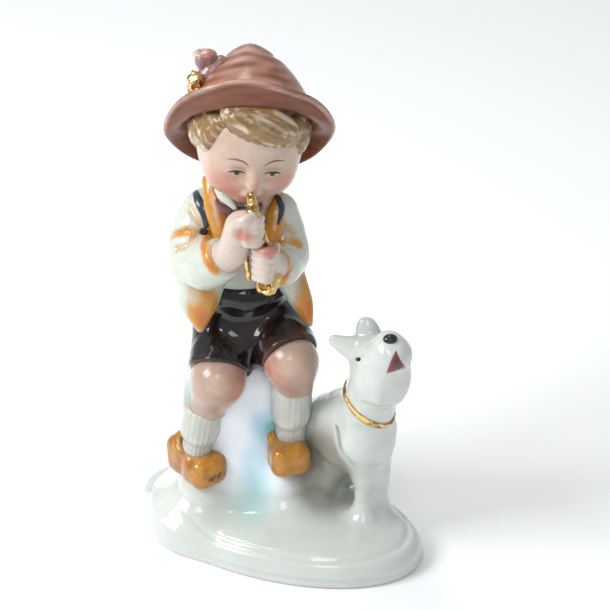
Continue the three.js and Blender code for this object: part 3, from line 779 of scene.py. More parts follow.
def dog_field():
    parts = [
        rope([rump, (rump + breast) / 2 + (0.2, -0.2, 0.2), breast], [8.0, 7.2, 6.4]),
        rope([breast, nape + (-0.2, 0.6, -2), nape + (0, 0, 3)], [6.4, 6.1, 5.9]),
        rod(nape + (-3, 4, -4), rump + (-1.5, -1.3, 9.6), 5.9, 7.3),
        rope([nape + (0, 0, 1), poll + (0.2, -0.4, -4.8), poll], [5.9, 6.4, 6.2]),
        rod(poll + (1.2, -1.4, -1.6), snout + (-0.6, 0.4, -1.2), 6.2, 4.6),
        ball(poll + (3.4, -4.2, 0.0), (5.0, 4.4, 7.6)),
        ball(snout + (0, 0, -0.4), (4.2, 4.2, 3.5)),
        rod(poll + (0.4, -0.6, 4.0), snout + (-0.8, 1.4, 0.8), 4.2, 3.4),
        rod(breast + (0.2, 0.4, 0), breast + (1.6, 1.2, -11), 6.0, 3.6),
        ball(haunch + (-0.2, 2.4, 1.6), (4.6, 6.4, 6.4), turned(-25, 0, 0)),
        ball(near("dog_left_haunch", -0.6, 2.0, 2.0), (5.0, 6.6, 6.4), turned(-25, 0, 0)),
        *forelegs(),
    ]
    dog = joined(*parts, blend=3.2)
    grooves = [
        rope(trail(haunch, (-3.2, -2.0, 9.5), (2.4, -7.0, 5.5), (3.6, -8.0, -1.0)), [0.5, 1.0, 0.8]),
        rope(trail(breast, (-6.4, -1.5, 4), (-4.8, -4.4, -4), (-2.2, -5.6, -9)), [0.3, 0.7, 0.4]),
        rope(trail(breast, (1.8, -8.2, -11), (1.8, -6.4, -17), (2.2, -5.6, -24)), [0.3, 0.6, 0.8]),
        rope(trail(poll, (-3.2, -6.4, -7.5), (-0.5, -8.2, -8.6), (3.0, -8.2, -8.8)), [0.2, 0.3, 0.1]),
    ]
    dog = cut(dog, *grooves, blend=1.7)
    brow = rope(trail(poll, (-3.4, -4.2, 3.6), (-1.2, -5.4, 5.8), (0.8, -5.6, 8.0)), [0.9, 1.2, 0.9])
    cheek = rope(trail(poll, (-0.6, -6.6, 4.4), (0.6, -7.4, 0), (0.8, -7.2, -5)), [0.8, 1.4, 1.0])
    ears = [
        rope(trail(poll, (-2.4, 1.4, 2.6), (-6.4, 2.2, 4.2), (-10.2, 3.2, 5.6)), [3.8, 2.9, 1.6], 9, 0.5,
             point(0.1, 1, -0.1)),
        rope(trail(poll, (-0.8, 2.8, 4.6), (-1.9, 3.8, 7.6), (-2.3, 4.4, 9.0)), [3.4, 3.1, 2.6], 9, 0.55,
             point(0.1, 1, -0.2)),
    ]
    dog = joined(dog, brow, cheek, *ears, blend=1.8)
    return wavy(wavy(dog, 5.5, 0.16, 1.0), 2.2, 0.05, 2.0)


dog = dog_field()
DOG_NODES = (
    "dog_body", "dog_head", "dog_right_ear", "dog_left_ear", "dog_right_haunch", "dog_left_haunch",
    "dog_right_foreleg", "dog_left_foreleg",
)
below_the_floor = half_space(point(0, 0, 0), point(0, 0, -1))
sculpt_together(
    cut(joined(ground, dog, blend=4.0), below_the_floor, blend=0.8),
    porcelain_paint, PORCELAIN, 0.46,
    [
        ("base_and_boulder", ground, ("base_plinth", "rock_seat")),
        ("terrier", dog, DOG_NODES),
    ],
)

mouth_at = snout + (0.8, -8, 1.4)
MOUTH_OUTLINE = ((0.1, 4.6), (1.4, 1.2), (2.9, -1.4), (0.4, -2.0), (-2.5, -2.8), (-1.3, 1.4))
patch("dog_mouth", [mouth_at + (x, 0, z) for x, z in MOUTH_OUTLINE], dog, PAINTERS_VIEW, MOUTH_RED,
      rgb(92, 62, 60), nodes=("dog_mouth",))
nose_shape = ball(snout + (-0.5, -1.0, 4.5), (1.8, 1.4, 1.0), turned(25, -4, 0))
sculpt("dog_nose", nose_shape, Paint(INK), ENAMEL, 0.22)
eye_at = poll + (-4.5, -12, 9.2)
eye_outline = [eye_at + (0.7 * math.cos(a), 0, 0.7 * math.sin(a)) for a in np.linspace(0, 6.283, 9)[:-1]]
patch("dog_right_eye", eye_outline, dog, PAINTERS_VIEW, INK, INK * 0.5)


def make_collar():
    normal = point(0.6, -0.28, 0.75)
    across = np.cross(normal, point(0, 1, 0))
    across /= np.linalg.norm(across)
    other = np.cross(normal, across)
    angles = np.linspace(0, 2 * math.pi, 97)[:-1]
    outward = np.outer(np.cos(angles), across) + np.outer(np.sin(angles), other)
    ring = settled(nape + (0, 0, -1.1) + outward * 11, -outward, dog)
    section = 12
    places = []
    for spot_on, out in zip(ring, outward):
        for j in range(section):
            a = 2 * math.pi * j / section
            places.append(spot_on + out * 0.4 * math.cos(a) + normal * 1.05 * math.sin(a))
    quads = turned_over(ring_quads(len(ring) + 1, section))
    faces = [[corner % len(places) for corner in quad] for quad in quads]
    finished(mesh_object("dog_collar", np.array(places), faces), GILT, ("dog_collar",))


make_collar()

# ---- legs, socks, shoes

SIDES = {
    "right": {
        "sign": -1, "shoe": shoe_right, "toe": -40, "leg": near("right_leg"), "sock": near("right_sock"),
        "thigh": (2.2, 5.0, 6.6), "knee": (0.9, -2.8, 1.2),
        "calf": (-1.2, -1.4, -5.5), "shin": (-3.8, 0.2, -14.4),
        "sock_top": (0.6, 0.8, 7.4), "ankle": (-1.6, 1.0, -5.5),
    },
    "left": {
        "sign": 1, "shoe": shoe_left, "toe": -15, "leg": near("left_leg"), "sock": near("left_sock"),
        "thigh": (-2.6, 5.4, 5.6), "knee": (1.8, -2.8, 2.8),
        "calf": (2.5, -0.8, -5.0), "shin": (2.0, 0.4, -13.0),
        "sock_top": (1.2, 1.2, 8.8), "ankle": (0.6, 1.4, -7.5),
    },
}


def make_leg(side, s):
    inner = -s["sign"]
    knee, calf = s["leg"] + s["knee"], s["leg"] + s["calf"]
    shape = joined(
        rod(s["leg"] + s["thigh"], knee, 6.8, 6.6),
        rope([knee, (knee + calf) / 2 + (0, 0.2, 0), calf, s["leg"] + s["shin"]], [6.6, 6.0, 5.0, 4.6]),
        blend=2.0,
    )
    top, ankle = s["sock"] + s["sock_top"], s["sock"] + s["ankle"]
    axis = (ankle - top) / np.linalg.norm(ankle - top)
    shape = cut(shape, half_space(top + axis * 0.6, axis), blend=0.4)
    inner_side = [*trail(knee, (inner * 5.5, -4, 3), (inner * 4.4, -5, -3)), calf + (inner * 4.6, -4, 0)]
    paint = Paint(
        LEG_SKIN,
        (ROSE, spot(knee + (inner * 4.5, -3, -2), 8.5, 0.42, (1, 1, 1.2), 0.6)),
        (ROSE, brushed(inner_side, [0.5, 0.8, 0.4], 0.25, 1.2)),
        # A painted highlight on the front of the knee.
        (SKIN, spot(knee + (0, -6.5, 2.6), 4.6, 0.7)),
        (SHADE, streaks((0.2, 0, 1), 1.4, 0.08, 3)),
    )
    sculpt(f"{side}_leg", shape, paint, FLESH)


def make_sock(side, s):
    top, ankle = s["sock"] + s["sock_top"], s["sock"] + s["ankle"]
    axis = (ankle - top) / np.linalg.norm(ankle - top)
    fold = top + (ankle - top) * 0.52
    foot = s["shoe"] + (0, 0.4, 0.5)
    cuff = rod(top, fold, 5.3, 5.1)
    ribbing = rod(fold + axis * 0.8, ankle, 4.1, 3.9)
    plain = joined(cuff, ribbing, rod(ankle, foot, 3.9, 3.7), blend=0.35)
    plain = cut(plain, half_space(top - axis * 0.4, -axis), blend=0.9)

    def ribbed(points):
        offset = points - top
        angle = np.arctan2(offset @ np.cross(axis, point(0, 1, 0)), offset @ point(0, 1, 0))
        return plain(points) + 0.05 * np.cos(22 * angle) + 0.12 * waves(points, 3.4, s["sign"])

    # Painted shade in the sock's hollows, and a painted highlight below the fold.
    paint = Paint(SOCK, (SHADE, hollow_shade(0.8, 0.3)), (WHITE, spot(fold + (-1.5, -4, -1), 2.6, 0.6)))
    shape = Shape(ribbed, plain.low, plain.high)
    sculpt(f"{side}_sock", shape, paint, KNIT, 0.32)


def make_shoe(side, s):
    foot = Place(s["shoe"], (0, 0, -s["toe"]))
    upper = joined(
        block(foot(0.1, -3.8, -0.4), (5.3, 4.4, 4.4), 3.0, foot.matrix),
        block(foot(0, 3.4, 0.9), (4.9, 4.6, 5.6), 3.4, foot.matrix),
        blend=2.2,
    )
    ankle = s["sock"] + s["ankle"]
    around = np.linspace(0, 2 * math.pi, 9)
    welt = [foot(4.0 * math.sin(a), 1.0 - 4.5 * math.cos(a), 4.4 - 1.9 * math.cos(a)) for a in around]
    opening = rope(welt, [0.75] * 9)
    shape = cut(upper, rod(ankle, ankle + (0, 0.4, 7), 3.9, 4.3), blend=0.8)
    shape = joined(shape, opening, blend=0.9)
    inside = rod(ankle + (0, 0, -1), ankle + (0, 0.4, 7), 3.6, 4.0)
    sole = half_space(foot(0, 0, -4.6), (0, 0, -1))
    shape = cut(shape, inside, sole, blend=0.6)
    shape = wavy(shape, 4.5, 0.16, 4)
    scuffed = 0.85 if side == "right" else 0.15
    toe = [foot(-1.6, -8, -1.6), foot(0.4, -8, -0.4), foot(1.8, -8, -1.8), foot(3.4, -7.4, -0.8)]
    paint = Paint(
        SHOE,
        (SHOE_DARK, streaks((0.4, 0.4, 1), 2.6, 0.5, 1.5)),
        (SHOE_DARK, spot(foot(-4, 1, -4), 6.0, 0.5)),
        # A painted highlight on the toe.
        (OCHRE, spot(foot(-2, -8, 1), 5.0, 0.5)),
        (SCUFF, brushed(toe, [0.35, 0.5, 0.5, 0.3], scuffed, 0.5, 0.9)),
        # A painted highlight along the edges and the opening's rim, and painted shade in the hollows.
        (SKIN, edges(0.7, 0.4)),
        (SHOE_DARK, hollow_shade(0.9, 0.5)),
    )
    sculpt(f"{side}_shoe", shape, paint, LEATHER, 0.34)


for side, s in SIDES.items():
    make_leg(side, s)
    make_sock(side, s)
    make_shoe(side, s)

# ---- shorts

hips = near("shorts_seat")
hems = {side: (s["leg"] + s["thigh"], s["leg"] + s["knee"]) for side, s in SIDES.items()}
HEM_BACK = {"right": 2.6, "left": 1.4}  # how far behind the knee each hem stops


def trouser_leg(side):
    thigh, knee = hems[side]
    along = (knee - thigh) / np.linalg.norm(knee - thigh)
    leg = rod(thigh + (0, 3.5, 0), knee + (0, 0, 1.0), 8.2, 7.9)
    leg = wavy(leg, 4.5, 0.2, 2)
    return cut(leg, half_space(knee - along * HEM_BACK[side], along + point(0, 0, -0.12)), blend=0.9)


shorts_body = joined(
    ball(hips + (0, 0, -1.6), (13.6, 9.6, 8.2)),
    ball(hips + (0.3, -1.6, 6.6), (10.6, 8.8, 6.6)),
    ball(hips + (1.0, -5.5, -7.0), (7.0, 6.5, 7.0)),
    trouser_leg("right"),
    trouser_leg("left"),
    blend=2.6,
)
creases = [
    rope(trail(hips, (1.5, -10.5, 4), (1.8, -13.5, -3), (0.8, -12, -12)), [0.5, 0.6, 0.5]),
    rope(trail(hips, (2.0, -12.5, -1), (-3.5, -12.5, 0.5), (-9.5, -10, 2.0)), [0.3, 0.45, 0.2]),
    rope(trail(hips, (2.0, -12.5, -1), (6.0, -12.0, 2.0), (9.5, -8.5, 3.5)), [0.3, 0.45, 0.2]),
    rope(trail(hips, (-6.0, -11.0, 6.0), (-2.0, -12.5, 1.5), (2.0, -13.0, -2.0)), [0.3, 0.4, 0.2]),
]
shorts = wavy(cut(shorts_body, *creases, blend=1.4), 6, 0.18, 5)
shorts_paint = Paint(
    BLACK,
    (RED_BROWN, spot(hems["right"][1] + (-5, -4, 4.5), 5.5, 0.65, rough=1.0)),
    (RED_BROWN, spot(hems["left"][1] + (-5, -4, 3.5), 4.5, 0.6, rough=1.0)),
    (RED_BROWN, spot(hems["left"][1] + (2, -3, 6.5), 5.0, 0.4, (1.6, 1, 1), 1.0)),
    (RED_BROWN, streaks((0.3, 0.2, 1), 3.2, 0.25, 0.5)),
)
SHORTS_NODES = ("shorts_seat", "right_shorts_leg", "left_shorts_leg")
sculpt("shorts", shorts, shorts_paint, DARK, nodes=SHORTS_NODES)

# ---- torso, jacket and sleeves

chest = near("torso")
torso = joined(
    ball(chest + (0, 0, 1.5), (11.0, 8.4, 12.0)),
    ball(chest + (0, 0.6, -8.0), (10.0, 7.8, 7.6)),
    ball(chest + (-0.4, -0.4, 10.2), (11.4, 7.2, 6.6)),
    rod(chest + (0.8, -1.5, 12), chest + (1.4, -3.2, 17), 6.2, 5.8),
    blend=4,
)
torso_paint = Paint(
    SHIRT,
    (SHADE, spot(chest + (2, -9, -6), 12, 0.6, (0.8, 1, 1))),
    (OCHRE, spot(chest + (9.0, -5, 8), 7.5, 0.95, (0.6, 1, 1.6), 0.8, 0.5)),
    (OCHRE, spot(chest + (-7.0, -6, 8), 6.0, 0.75, (0.6, 1, 1.8), 0.6)),
)
sculpt("torso", torso, torso_paint, CLOTH)

ARMS = {
    "right": {
        "node": near("right_sleeve"), "radii": (6.2, 6.6, 6.3), "fore_radii": (6.4, 6.4, 5.4),
        "shoulder": (0.8, 6.4, 7.2), "upper": (-1.8, 4.2, 2.0), "elbow": (-2.2, 0.8, -1.8),
        "fore": (1.2, -4.6, -1.6), "cuff": (4.6, -7.4, 1.6),
        "creases": [
            [(-8.0, 4.0), (-4.0, 5.3), (-0.1, 4.9), (3.4, 4.9)],
            [(-3.4, 12.4), (-1.4, 8.8), (0.6, 6.4)],
            [(-0.8, 4.4), (-3.6, 1.6), (-6.4, 0.4)],
        ],
        "hem": [(1.6, 4.0), (1.2, -0.9), (3.4, -5.8)],
    },
    "left": {
        "node": near("left_sleeve"), "radii": (5.4, 5.6, 5.6), "fore_radii": (5.6, 5.3, 4.8),
        "shoulder": (-1.8, 6.4, 6.8), "upper": (-0.2, 4.4, 2.0), "elbow": (0.0, 0.8, -1.8),
        "fore": (-0.8, -4.8, -2.0), "cuff": (-1.6, -7.6, 0.2),
        "creases": [
            [(-4.0, 1.8), (-1.2, 2.6), (1.6, 2.6), (3.6, 1.8)],
            [(-0.2, 6.8), (1.6, 5.8), (2.6, 4.2)],
        ],
        "hem": [(-1.6, 1.6), (0.2, -4.2), (-0.8, -9.4)],
    },
}
for arm in ARMS.values():
    for joint in ("shoulder", "upper", "elbow", "fore", "cuff"):
        arm[joint] = arm["node"] + arm[joint]


def make_sleeve(side, arm):
    plain = joined(
        rope([arm["shoulder"], arm["upper"], arm["elbow"]], arm["radii"]),
        rope([arm["elbow"], arm["fore"], arm["cuff"]], arm["fore_radii"]),
        blend=2.5,
    )
    axis = arm["cuff"] - arm["fore"]
    plain = cut(plain, half_space(arm["cuff"] + axis * 0.35, axis), blend=1.4)
    creases = [laid(plain, arm["node"], path) for path in arm["creases"]]
    hem = laid(plain, arm["node"], arm["hem"])
    grooves = [rope(path, np.linspace(0.4, 0.2, len(path)), 25) for path in creases]
    shape = wavy(cut(plain, *grooves, blend=1.5), 7, 0.22, 2 + len(grooves))
    first, *others = creases
    beside = point(-0.9 if side == "right" else 0.9, -0.2, 0)
    paint = Paint(
        SHIRT,
        (WHITE, spot(arm["shoulder"] + (0, -2, 5), 6.0, 0.6)),
        (OCHRE, brushed(first + (0, -0.2, 0.2), [0.9, 1.3, 1.2, 1.5][: len(first)], 0.95, 0.6)),
        *[(OCHRE, brushed(path + (0, -0.2, 0.2), [0.9] * len(path), 0.7, 0.7)) for path in others],
        (OCHRE, brushed(hem, [1.0, 1.5, 1.5], 0.95, 0.7)),
        (ORANGE, brushed(hem + beside, [0.3, 0.7, 0.5], 0.7, 0.6)),
        # A painted highlight line beside the hem.
        (PINK_WHITE, brushed(hem - 1.3 * beside, [0.3, 0.5, 0.3], 0.6, 0.5)),
    )
    sculpt(f"{side}_sleeve", shape, paint, CLOTH)
    return shape


sleeves = {side: make_sleeve(side, arm) for side, arm in ARMS.items()}

FRONT = point(0, 1, 0.3)


def make_tail(side, path, radii, tip):
    middle = near(f"{side}_jacket_tail")
    path = [middle + p for p in path]
    shape = rope(path, radii, 31, 0.6, FRONT)
    paint = Paint(
        SHIRT,
        (OCHRE, spot(middle + tip + (0.8, -1, 7.0), 8.6, 0.95, (0.6, 1, 1.15), 0.9, 0.6)),
        (SHIRT, spot(middle + tip + (-1.6, -1, 10.0), 3.4, 0.6, rough=0.6)),
        (ORANGE, spot(middle + tip + (0.2, -1, 3.4), 4.0, 0.75, (0.7, 1, 1.1), 0.4)),
        (SHIRT, edges(0.8, 0.9)),
    )
    sculpt(f"{side}_jacket_tail", shape, paint, CLOTH)


RIGHT_TAIL = [(0.8, -1.0, 10), (0.2, -2.4, 4.0), (-0.1, -4.6, 0.2), (0.2, -6.8, -5.8)]
LEFT_TAIL = [(-1.0, 1.0, 9), (1.4, -0.6, 4.0), (4.2, -2.6, -1.6), (6.0, -4.4, -6.6)]
make_tail("right", RIGHT_TAIL, [6.6, 6.2, 4.6, 1.0], point(0.2, -6.8, -5.8))
make_tail("left", LEFT_TAIL, [5.0, 4.0, 2.8, 1.0], point(5.4, -4.4, -6.0))


def make_lapel(side, path, radii):
    middle = near(f"{side}_lapel")
    path = [middle + p for p in path]
    shape = wavy(rope(path, radii, 41, 0.62, point(0, 1, 0.4)), 3.5, 0.1, 1)
    paint = Paint(
        OCHRE,
        (ORANGE, brushed([p + (0.9, -2, 0) for p in path], [0.5, 0.8, 0.6], 0.6, 0.8)),
        # A painted highlight line down the middle of the lapel.
        (PINK_WHITE, brushed([p + (0.0, -2.4, 0) for p in path], [0.25, 0.45, 0.3], 0.8, 0.5)),
        (SHIRT, edges(0.6, 0.35)),
    )
    sculpt(f"{side}_lapel", shape, paint, CLOTH, 0.34)
    return shape


RIGHT_LAPEL = [(-2.0, 1.2, 9.0), (-0.6, -2.6, 3.2), (1.2, -5.2, -5.0)]
LEFT_LAPEL = [(1.2, 0.4, 4.4), (0.4, -2.6, 0.4), (-0.8, -5.0, -5.6)]
right_lapel = make_lapel("right", RIGHT_LAPEL, [2.0, 2.8, 2.0])
left_lapel = make_lapel("left", LEFT_LAPEL, [1.1, 2.3, 2.0])

bow = near("bow_tie")
knot = bow + (0.4, -3.2, -1.2)
right_loop = [*trail(bow, (-3.9, -1.4, 1.2), (-2.0, -2.6, -0.2)), knot]
left_loop = [knot, *trail(bow, (3.0, -3.0, -0.8), (5.0, -2.2, 0.4))]
bow_shape = joined(
    rope(right_loop, [1.5, 2.0, 1.0], 9, 0.6, point(0, 1, 0)),
    rope(left_loop, [1.0, 1.8, 1.4], 9, 0.6, point(0, 1, 0)),
    ball(knot, (1.4, 1.3, 1.5)),
    blend=0.7,
)
# Painted shade in the bow's hollows; its edges lighter as thin glaze and a painted highlight.
bow_paint = Paint(MAROON, (INK, hollow_shade(0.7, 0.5)), (MAUVE, edges(0.6, 0.35)))
sculpt("bow_tie", bow_shape, bow_paint, ENAMEL, 0.26)


def collar_wing(start, middle, tip):
    return rope([bow + start, bow + middle, bow + tip], [1.6, 1.6, 0.7], 25, 0.6, point(0, 1, 0.5))


collar_shape = joined(
    collar_wing((-4.0, -0.4, 3.8), (-2.8, -2.2, 2.6), (-0.6, -3.6, 0.4)),
    collar_wing((7.4, 0.4, 4.2), (5.6, -1.8, 3.0), (2.6, -3.2, 1.0)),
    blend=0.2,
)
# Painted shade in the collar's hollows.
collar_paint = Paint(SHIRT, (SHADE, hollow_shade(0.8, 0.5)), (INK, brushed(
    trail(bow, (-4.6, -4, 4.0), (-2.6, -4.4, 3.4), (-0.6, -4.6, 1.0)), [0.15, 0.3, 0.2], 0.7, 0.35)))
sculpt("shirt_collar", collar_shape, collar_paint, CLOTH, 0.28, nodes=())

# ---- head

SKULL = Place(near("head", 0.1, 0.6, 2.2), (7, 6.5, 9))
EYE_X, EYE_Z = 4.3, -3.0


def head_field():
    m = SKULL.matrix
    parts = [
        ball(SKULL(0, 0, 0), (13.4, 13.2, 13.2), m),
        ball(SKULL(0, -3.4, -5.4), (11.0, 9.4, 8.2), m),
        ball(SKULL(-5.2, -6.8, -6.8), (4.8, 4.5, 4.5), m),
        ball(SKULL(5.2, -6.8, -6.8), (4.8, 4.5, 4.5), m),
        ball(SKULL(0, -8.2, -11.4), (3.8, 3.2, 2.8), m),
    ]
    skull = joined(*parts, blend=3.2)
    sockets = [ball(SKULL(side * EYE_X, -14.4, EYE_Z - 0.2), (3.0, 2.4, 1.7), m) for side in (-1, 1)]
    skull = cut(skull, *sockets, blend=2.4)
    lids = [ball(SKULL(side * EYE_X, -10.6, EYE_Z + 0.1), (2.5, 1.9, 1.7), m) for side in (-1, 1)]
    nose = rope([SKULL(0, -12.2, -2.4), SKULL(0, -13.0, -4.6), SKULL(0, -13.6, -6.0)], [0.7, 1.0, 1.35])
    lips = ball(SKULL(-0.2, -12.3, -9.0), (1.9, 1.4, 1.25), m)
    skull = joined(skull, *lids, blend=0.9)
    skull = joined(skull, nose, lips, blend=1.5)
    neck = rod(SKULL(0, 1.5, -9), near("head", 0.4, 1.6, -15.0), 5.6, 5.6)
    return joined(skull, neck, blend=1.5)


head = head_field()
head_paint = Paint(
    SKIN,
    (ROSE, spot(SKULL(-6.2, -9.4, -6.6), 6.0, 0.7, rough=0.7)),
    (ROSE, spot(SKULL(6.4, -9.4, -6.4), 5.6, 0.62, rough=0.7)),
    (ROSE, spot(SKULL(-1.5, -9.5, -11.5), 6.0, 0.55, (1.4, 1, 0.8), 0.5)),
    (ROSE, spot(SKULL(0, -14.6, -6.0), 1.6, 0.35)),
    # Painted highlights on the forehead and on the side of the face towards the light.
    (PINK_WHITE, spot(SKULL(0, -11, 6.5), 8.5, 0.5)),
    (PINK_WHITE, spot(SKULL(-10.5, -5, -3), 5.0, 0.5)),
    (SHADE, spot(SKULL(-EYE_X, -12.5, EYE_Z + 0.9), 2.6, 0.3, (1.2, 1, 0.7))),
    (SHADE, spot(SKULL(EYE_X, -12.5, EYE_Z + 0.9), 2.6, 0.3, (1.2, 1, 0.7))),
    (MOUTH_RED, spot(SKULL(-0.2, -13.6, -9.1), 1.7, 0.8, (1.3, 1, 0.8))),
    # Painted shade in the face's hollows.
    (ROSE, hollow_shade(1.0, 0.25)),
)
sculpt("head", head, head_paint, FLESH, 0.34)

INWARD = SKULL.matrix @ point(0, 1, 0)
LASH = ((-2.2, -0.5), (-1.0, 0.12), (0.2, 0.3), (1.3, 0.1), (2.2, -0.5))
PUPIL = ((-0.62, 0.1), (0.1, 0.2), (0.78, 0.08), (0.6, -0.66), (0.08, -0.95), (-0.48, -0.66))
BROW_LINE = ((-2.5, 2.2), (-1.2, 3.2), (0.7, 3.5), (2.6, 3.0))
LID_LINE = ((-1.9, 0.75), (0, 1.25), (1.9, 0.75))
LID_COLOUR = BROW * 0.5 + SKIN * 0.5


def on_face(side, outline):
    """Points before the face, mirrored so that the first ones lie towards the nose."""
    return [SKULL(side * (EYE_X + x), -20, EYE_Z + z) for x, z in outline]


for side, name in ((-1, "right"), (1, "left")):
    lash, brow, lid = (on_face(side, outline) for outline in (LASH, BROW_LINE, LID_LINE))
    line(f"{name}_lash_line", lash, [0.12, 0.36, 0.46, 0.42, 0.14], head, INWARD, INK)
    patch(f"{name}_pupil", on_face(side, PUPIL), head, INWARD, INK, INK * 0.6)
    line(f"{name}_eyebrow", brow, [0.16, 0.5, 0.52, 0.14], head, INWARD, BROW, 0.07)
    line(f"{name}_lid_crease", lid, [0.08, 0.16, 0.08], head, INWARD, LID_COLOUR, 0.05)

# ---- hair


def on_skull(around, up, radius):
    """A point over the skull: degrees round from the face, degrees up, and how far out."""
    a, e = math.radians(around), math.radians(up)
    right = radius * math.sin(a) * math.cos(e)
    back = -radius * math.cos(a) * math.cos(e)
    return SKULL(right, back, radius * math.sin(e))


def lock(start, middle, end, radii):
    return rope([on_skull(*start), on_skull(*middle), on_skull(*end)], radii)


def hair_field():
    locks = []
    for share in np.linspace(0, 1, 9):
        start = (-56 + 78 * share, 62 - 10 * share, 13.9)
        middle = (-44 + 84 * share, 45 - 12 * share, 14.2)
        end = (-34 + 86 * share, 32 - 18 * share, 13.0)
        locks.append(lock(start, middle, end, [2.2, 2.3, 0.9]))
    for sign in (-1, 1):
        for share in np.linspace(0, 1, 4):
            start = (sign * (54 + 26 * share), 32, 12.9)
            middle = (sign * (60 + 24 * share), 10, 12.9)
            end = (sign * (62 + 20 * share), -12 - 4 * share, 11.9)
            locks.append(lock(start, middle, end, [2.0, 2.1, 0.8]))
    for around in np.linspace(92, 268, 14):
        start, middle, end = (around, 34, 12.8), (around + 6, 2, 13.2), (around, -30, 11.4)
        locks.append(lock(start, middle, end, [2.2, 2.2, 0.9]))
    brow_line = half_space(SKULL(0, -1.5, 6.5), SKULL.matrix @ point(0, -0.75, -1))
    cap = cut(ball(SKULL(0, 0, 0), 14.0), brow_line, blend=1)
    return joined(cap, *locks, blend=0.9)


hair = hair_field()
COMBED = SKULL.matrix @ point(1, -0.1, -0.55)
hair_paint = Paint(
    HAIR,
    (HAIR_PALE, streaks(COMBED, 1.5, 0.85, 0.4)),
    (HAIR_DARK, streaks(COMBED, 2.3, 0.6, 3.1)),
    # Painted shade in the hair's hollows.
    (HAIR_DARK, hollow_shade(0.8, 0.6)),
    (HAIR_PALE, edges(0.7, 0.35)),
)
sculpt("hair", hair, hair_paint, STRANDS, 0.34)

# ---- hat

HAT = Place(near("head", 0.0, 1.1, 3.2), (-40, 0, 0))
HAT_HEIGHT = 21.8
CROWN_RADIUS = 16.8
RIM_RADIUS = 20.7
CURL = 5.8
AROUND = 160


def bell_curve(value, middle, width):
    return math.exp(-(((value - middle) / width) ** 2))


def crown_radius(height):
    share = min(max(height / HAT_HEIGHT, 0), 1)
    return (CROWN_RADIUS - 0.7 * ramp(share, 0.1, 0.4)) * (1 - share**1.8) ** 0.72


def hat_profile():
    """Rows of radius, height and zone, from the top of the crown round the rim to the inside."""
    rows = []
    for share in np.linspace(1, 0.1, 30):
        crease = 0.8 * bell_curve(share, 0.8, 0.03) + 0.6 * bell_curve(share, 0.14, 0.05)
        rows.append((max(crown_radius(HAT_HEIGHT * share) - crease, 0.0), HAT_HEIGHT * share, "crown"))
    for t in np.linspace(0.08, 1, 10):
        radius = CROWN_RADIUS - 0.6 + (RIM_RADIUS - CROWN_RADIUS + 0.1) * t
        rows.append((radius, 1.7 * (1 - t) ** 2 + 0.9, "brim"))
    for a in np.linspace(80, -80, 7):
        tip = math.radians(a)
        rows.append((RIM_RADIUS - 0.5 + 0.75 * math.cos(tip), 0.15 + 0.75 * math.sin(tip), "edge"))
    for t in np.linspace(0.95, 0, 8):
        radius = CROWN_RADIUS - 2.2 + (RIM_RADIUS - CROWN_RADIUS + 1.7) * t
        rows.append((radius, -0.6 + 2.5 * (1 - t) ** 2, "under"))
    for share in np.linspace(0.1, 0.94, 10):
        radius = max(crown_radius(HAT_HEIGHT * share) - 1.9, 0.05)
        rows.append((radius, HAT_HEIGHT * share - 1.8 * share, "inside"))
    return rows


def hat_point(radius, height, a):
    """Bends the plain brim up in front and down behind, and dents the crown by hand."""
    flare = ramp(radius, CROWN_RADIUS - 1.9, RIM_RADIUS) if height < HAT_HEIGHT * 0.3 else 0.0
    front = -math.sin(a)
    lift = CURL * flare * front + 0.35 * flare * math.sin(3 * a + 0.8) + 0.2 * flare * math.sin(7 * a)
    soft = ramp(height, HAT_HEIGHT * 0.15, HAT_HEIGHT * 0.7)
    dent = 1.4 * bell_curve(a, 4.3, 0.35) + 0.5 * math.sin(2 * a + 1)
    shrink = (1 - 0.09 * flare * ramp(-front, 0, 1)) * (1 - soft * dent / max(radius, 6.0) * 0.5)
    return HAT(radius * math.cos(a) * shrink, radius * math.sin(a) * shrink, height + lift)


# How much of the pale felt colour each zone takes in brush streaks: some on the crown, and a painted
# highlight on the brim's top and its edge.
HAT_STREAKS_AND_HIGHLIGHT = {"crown": 0.34, "brim": 0.6, "edge": 0.8, "under": 0.03, "inside": 0.0}
# How much painted shade each zone takes: under the brim and inside the crown.
HAT_SHADE = {"crown": 0.0, "brim": 0.0, "edge": 0.0, "under": 0.25, "inside": 0.8}


def make_hat():
    rows = hat_profile()
    places, colours = [], []
    for n, (radius, height, zone) in enumerate(rows):
        angles = np.arange(AROUND) * 2 * math.pi / AROUND
        places.extend(hat_point(radius, height, a) for a in angles)
        hand = np.stack([np.cos(angles) * 6, np.sin(angles) * 6, np.full(AROUND, n * 1.7)], 1)
        # A painted highlight along the ledge and painted shade in the crease near the crown's top; the
        # waves add a random mottle of darker felt.
        ledge_highlight = 0.5 * bell_curve(height / HAT_HEIGHT, 0.85, 0.035)
        crease = 0.55 * bell_curve(height / HAT_HEIGHT, 0.79, 0.02)
        pale = ledge_highlight + HAT_STREAKS_AND_HIGHLIGHT[zone] * (1 + 1.6 * waves(hand, 4.0, 1.0))
        dark = crease + HAT_SHADE[zone] + 0.3 * ramp(waves(hand, 2.6, 4.0), 0, 1)
        pale, dark = (np.clip(share, 0, 0.9)[:, None] for share in (pale, dark))
        tone = FELT * (1 - dark) + FELT_DARK * dark
        colours.append(tone * (1 - pale) + FELT_PALE * pale)
    faces = turned_over(ring_quads(len(rows), AROUND))
    piece = mesh_object("hat", np.array(places), faces, np.concatenate(colours))
    finished(piece, BRUSHED, ("hat",))


